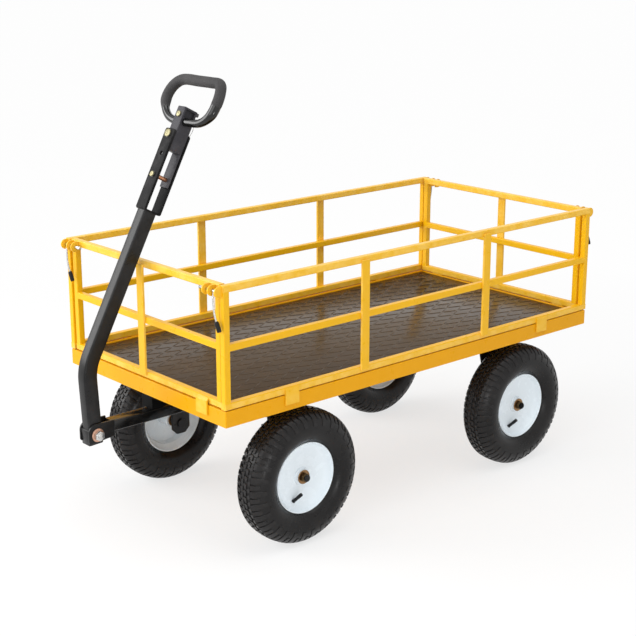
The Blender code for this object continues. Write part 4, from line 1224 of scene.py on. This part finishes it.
settle(buildDrawbar(), barBlack, "drawbar", ["drawbar"])
for side, name in ((1, "drawbar_ear_left"), (-1, "drawbar_ear_right")):
    ear = buildEar(side)
    ear.name = name + "_plate"
    settle(ear, blackCoat, "drawbar", [name])
settle(buildPin(), darkSteel, "bed", ["drawbar_pin"])
washers, nuts = buildPivot()
settle(washers, pinkZinc, "drawbar", ["pivot_bolt"])
settle(nuts, brightSteel, "drawbar", ["pivot_bolt"])
print("drawbar built")


# frame parts that keep their solids

# the underframe and axle frames take the darker black, painted shade for their place under the bed
keptNodes = {"underframe": shadedFrameBlack, "front_axle_beam": shadedFrameBlack, "rear_axle_frame": shadedFrameBlack,
             "knuckle_left": blackCoat, "knuckle_right": blackCoat,
             "steering_arm_left": blackCoat, "steering_arm_right": blackCoat, "tie_rod_left": blackCoat,
             "tie_rod_right": blackCoat}
for name, finish in keptNodes.items():
    node = frame["nodes"][name]
    for index in range(len(node.data.materials)):
        node.data.materials[index] = finish
    weld = node.modifiers.new("weld", "WELD")
    weld.merge_threshold = 0.00001
    soft = node.modifiers.new("edges", "BEVEL")
    soft.width = 0.9 * mm
    soft.segments = 2
    soft.limit_method = "ANGLE"
    soft.angle_limit = math.radians(40)
    soft.harden_normals = False
print("frame finished")


# studio

studioFacts = {
    "floorColour": (250, 250, 250), "floorGlow": (0.7, 0.97), "glowFrom": 0.9, "glowTo": 2.6, "worldFill": 0.5,
    "aim": 0.35,            # height that the lamps look at
    "lamps": (("keyLamp", (2.9, -2.3, 2.0), 2.6, 105), ("frontLamp", (3.6, 0.9, 2.2), 2.4, 36),
              ("sideLamp", (0.6, 3.9, 1.5), 3.0, 5), ("lowLamp", (1.35, 3.0, 0.35), 0.5, 9),
              ("topLamp", (0.0, 0.9, 4.2), 3.6, 72)),
}


def seenBySight(tree):
    # 1 for what the camera sees, also in metal and through glass
    rays = place(tree, "ShaderNodeLightPath").outputs
    seen = sums(tree, "MAXIMUM", rays["Is Camera Ray"], rays["Is Glossy Ray"])
    return sums(tree, "MAXIMUM", seen, rays["Is Transmission Ray"])


def buildStudio():
    deselectAll()
    bpy.ops.mesh.primitive_plane_add(size=60, location=(0, 0, 0))
    floor = bpy.context.object
    floor.name = "studioFloor"
    paint = bpy.data.materials.new("studioPaint")
    paint.use_nodes = True
    tree = paint.node_tree
    tree.nodes.clear()
    seen = seenBySight(tree)
    colour = linear(*studioFacts["floorColour"])
    matt = place(tree, "ShaderNodeBsdfDiffuse", {"Color": colour})
    glow = place(tree, "ShaderNodeEmission", {"Color": (1, 1, 1, 1), "Strength": seen})
    # round the wagon the floor takes its shadow; further out it turns into the white background
    spot = place(tree, "ShaderNodeTexCoord").outputs["Object"]
    away = place(tree, "ShaderNodeVectorMath", {0: spot}, operation="LENGTH").outputs["Value"]
    nearGlow, farGlow = studioFacts["floorGlow"]
    far = spread(tree, away, studioFacts["glowFrom"], studioFacts["glowTo"], nearGlow, farGlow)
    share = place(tree, "ShaderNodeMixShader", {"Fac": sums(tree, "MULTIPLY", seen, far),
                                                1: matt.outputs["BSDF"], 2: glow.outputs["Emission"]})
    place(tree, "ShaderNodeOutputMaterial", {"Surface": share.outputs["Shader"]})
    floor.data.materials.append(paint)
    for name, spot, size, energy in studioFacts["lamps"]:
        lamp = bpy.data.lights.new(name, "AREA")
        lamp.size = size
        lamp.energy = energy
        holder = bpy.data.objects.new(name, lamp)
        holder.location = spot
        aim = Vector((midX, 0, studioFacts["aim"]))
        holder.rotation_euler = (aim - Vector(spot)).to_track_quat("-Z", "Y").to_euler()
        wagonScene.collection.objects.link(holder)
    world = bpy.data.worlds.new("studioAir")
    world.use_nodes = True
    wagonScene.world = world
    tree = world.node_tree
    tree.nodes.clear()
    seen = seenBySight(tree)
    strength = spread(tree, seen, 0.0, 1.0, studioFacts["worldFill"], 1.0)
    air = place(tree, "ShaderNodeBackground", {"Color": (1, 1, 1, 1), "Strength": strength})
    place(tree, "ShaderNodeOutputWorld", {"Surface": air.outputs["Background"]})


def placeCamera():
    camera = bpy.data.cameras.new("photoCamera")
    camera.lens = photoCamera["lens"]
    camera.sensor_width = photoCamera["sensor"]
    camera.clip_end = 200
    holder = bpy.data.objects.new("photoCamera", camera)
    x, y, z = photoCamera["place"]
    holder.location = (x + midX, y, z)
    heading, tilt = photoCamera["heading"], photoCamera["tilt"]
    view = Vector((math.cos(tilt) * math.cos(heading), math.cos(tilt) * math.sin(heading), math.sin(tilt)))
    holder.rotation_euler = view.to_track_quat("-Z", "Y").to_euler()
    wagonScene.collection.objects.link(holder)
    wagonScene.camera = holder


buildStudio()
placeCamera()
wagonScene.view_settings.view_transform = "Standard"
print("studio built")
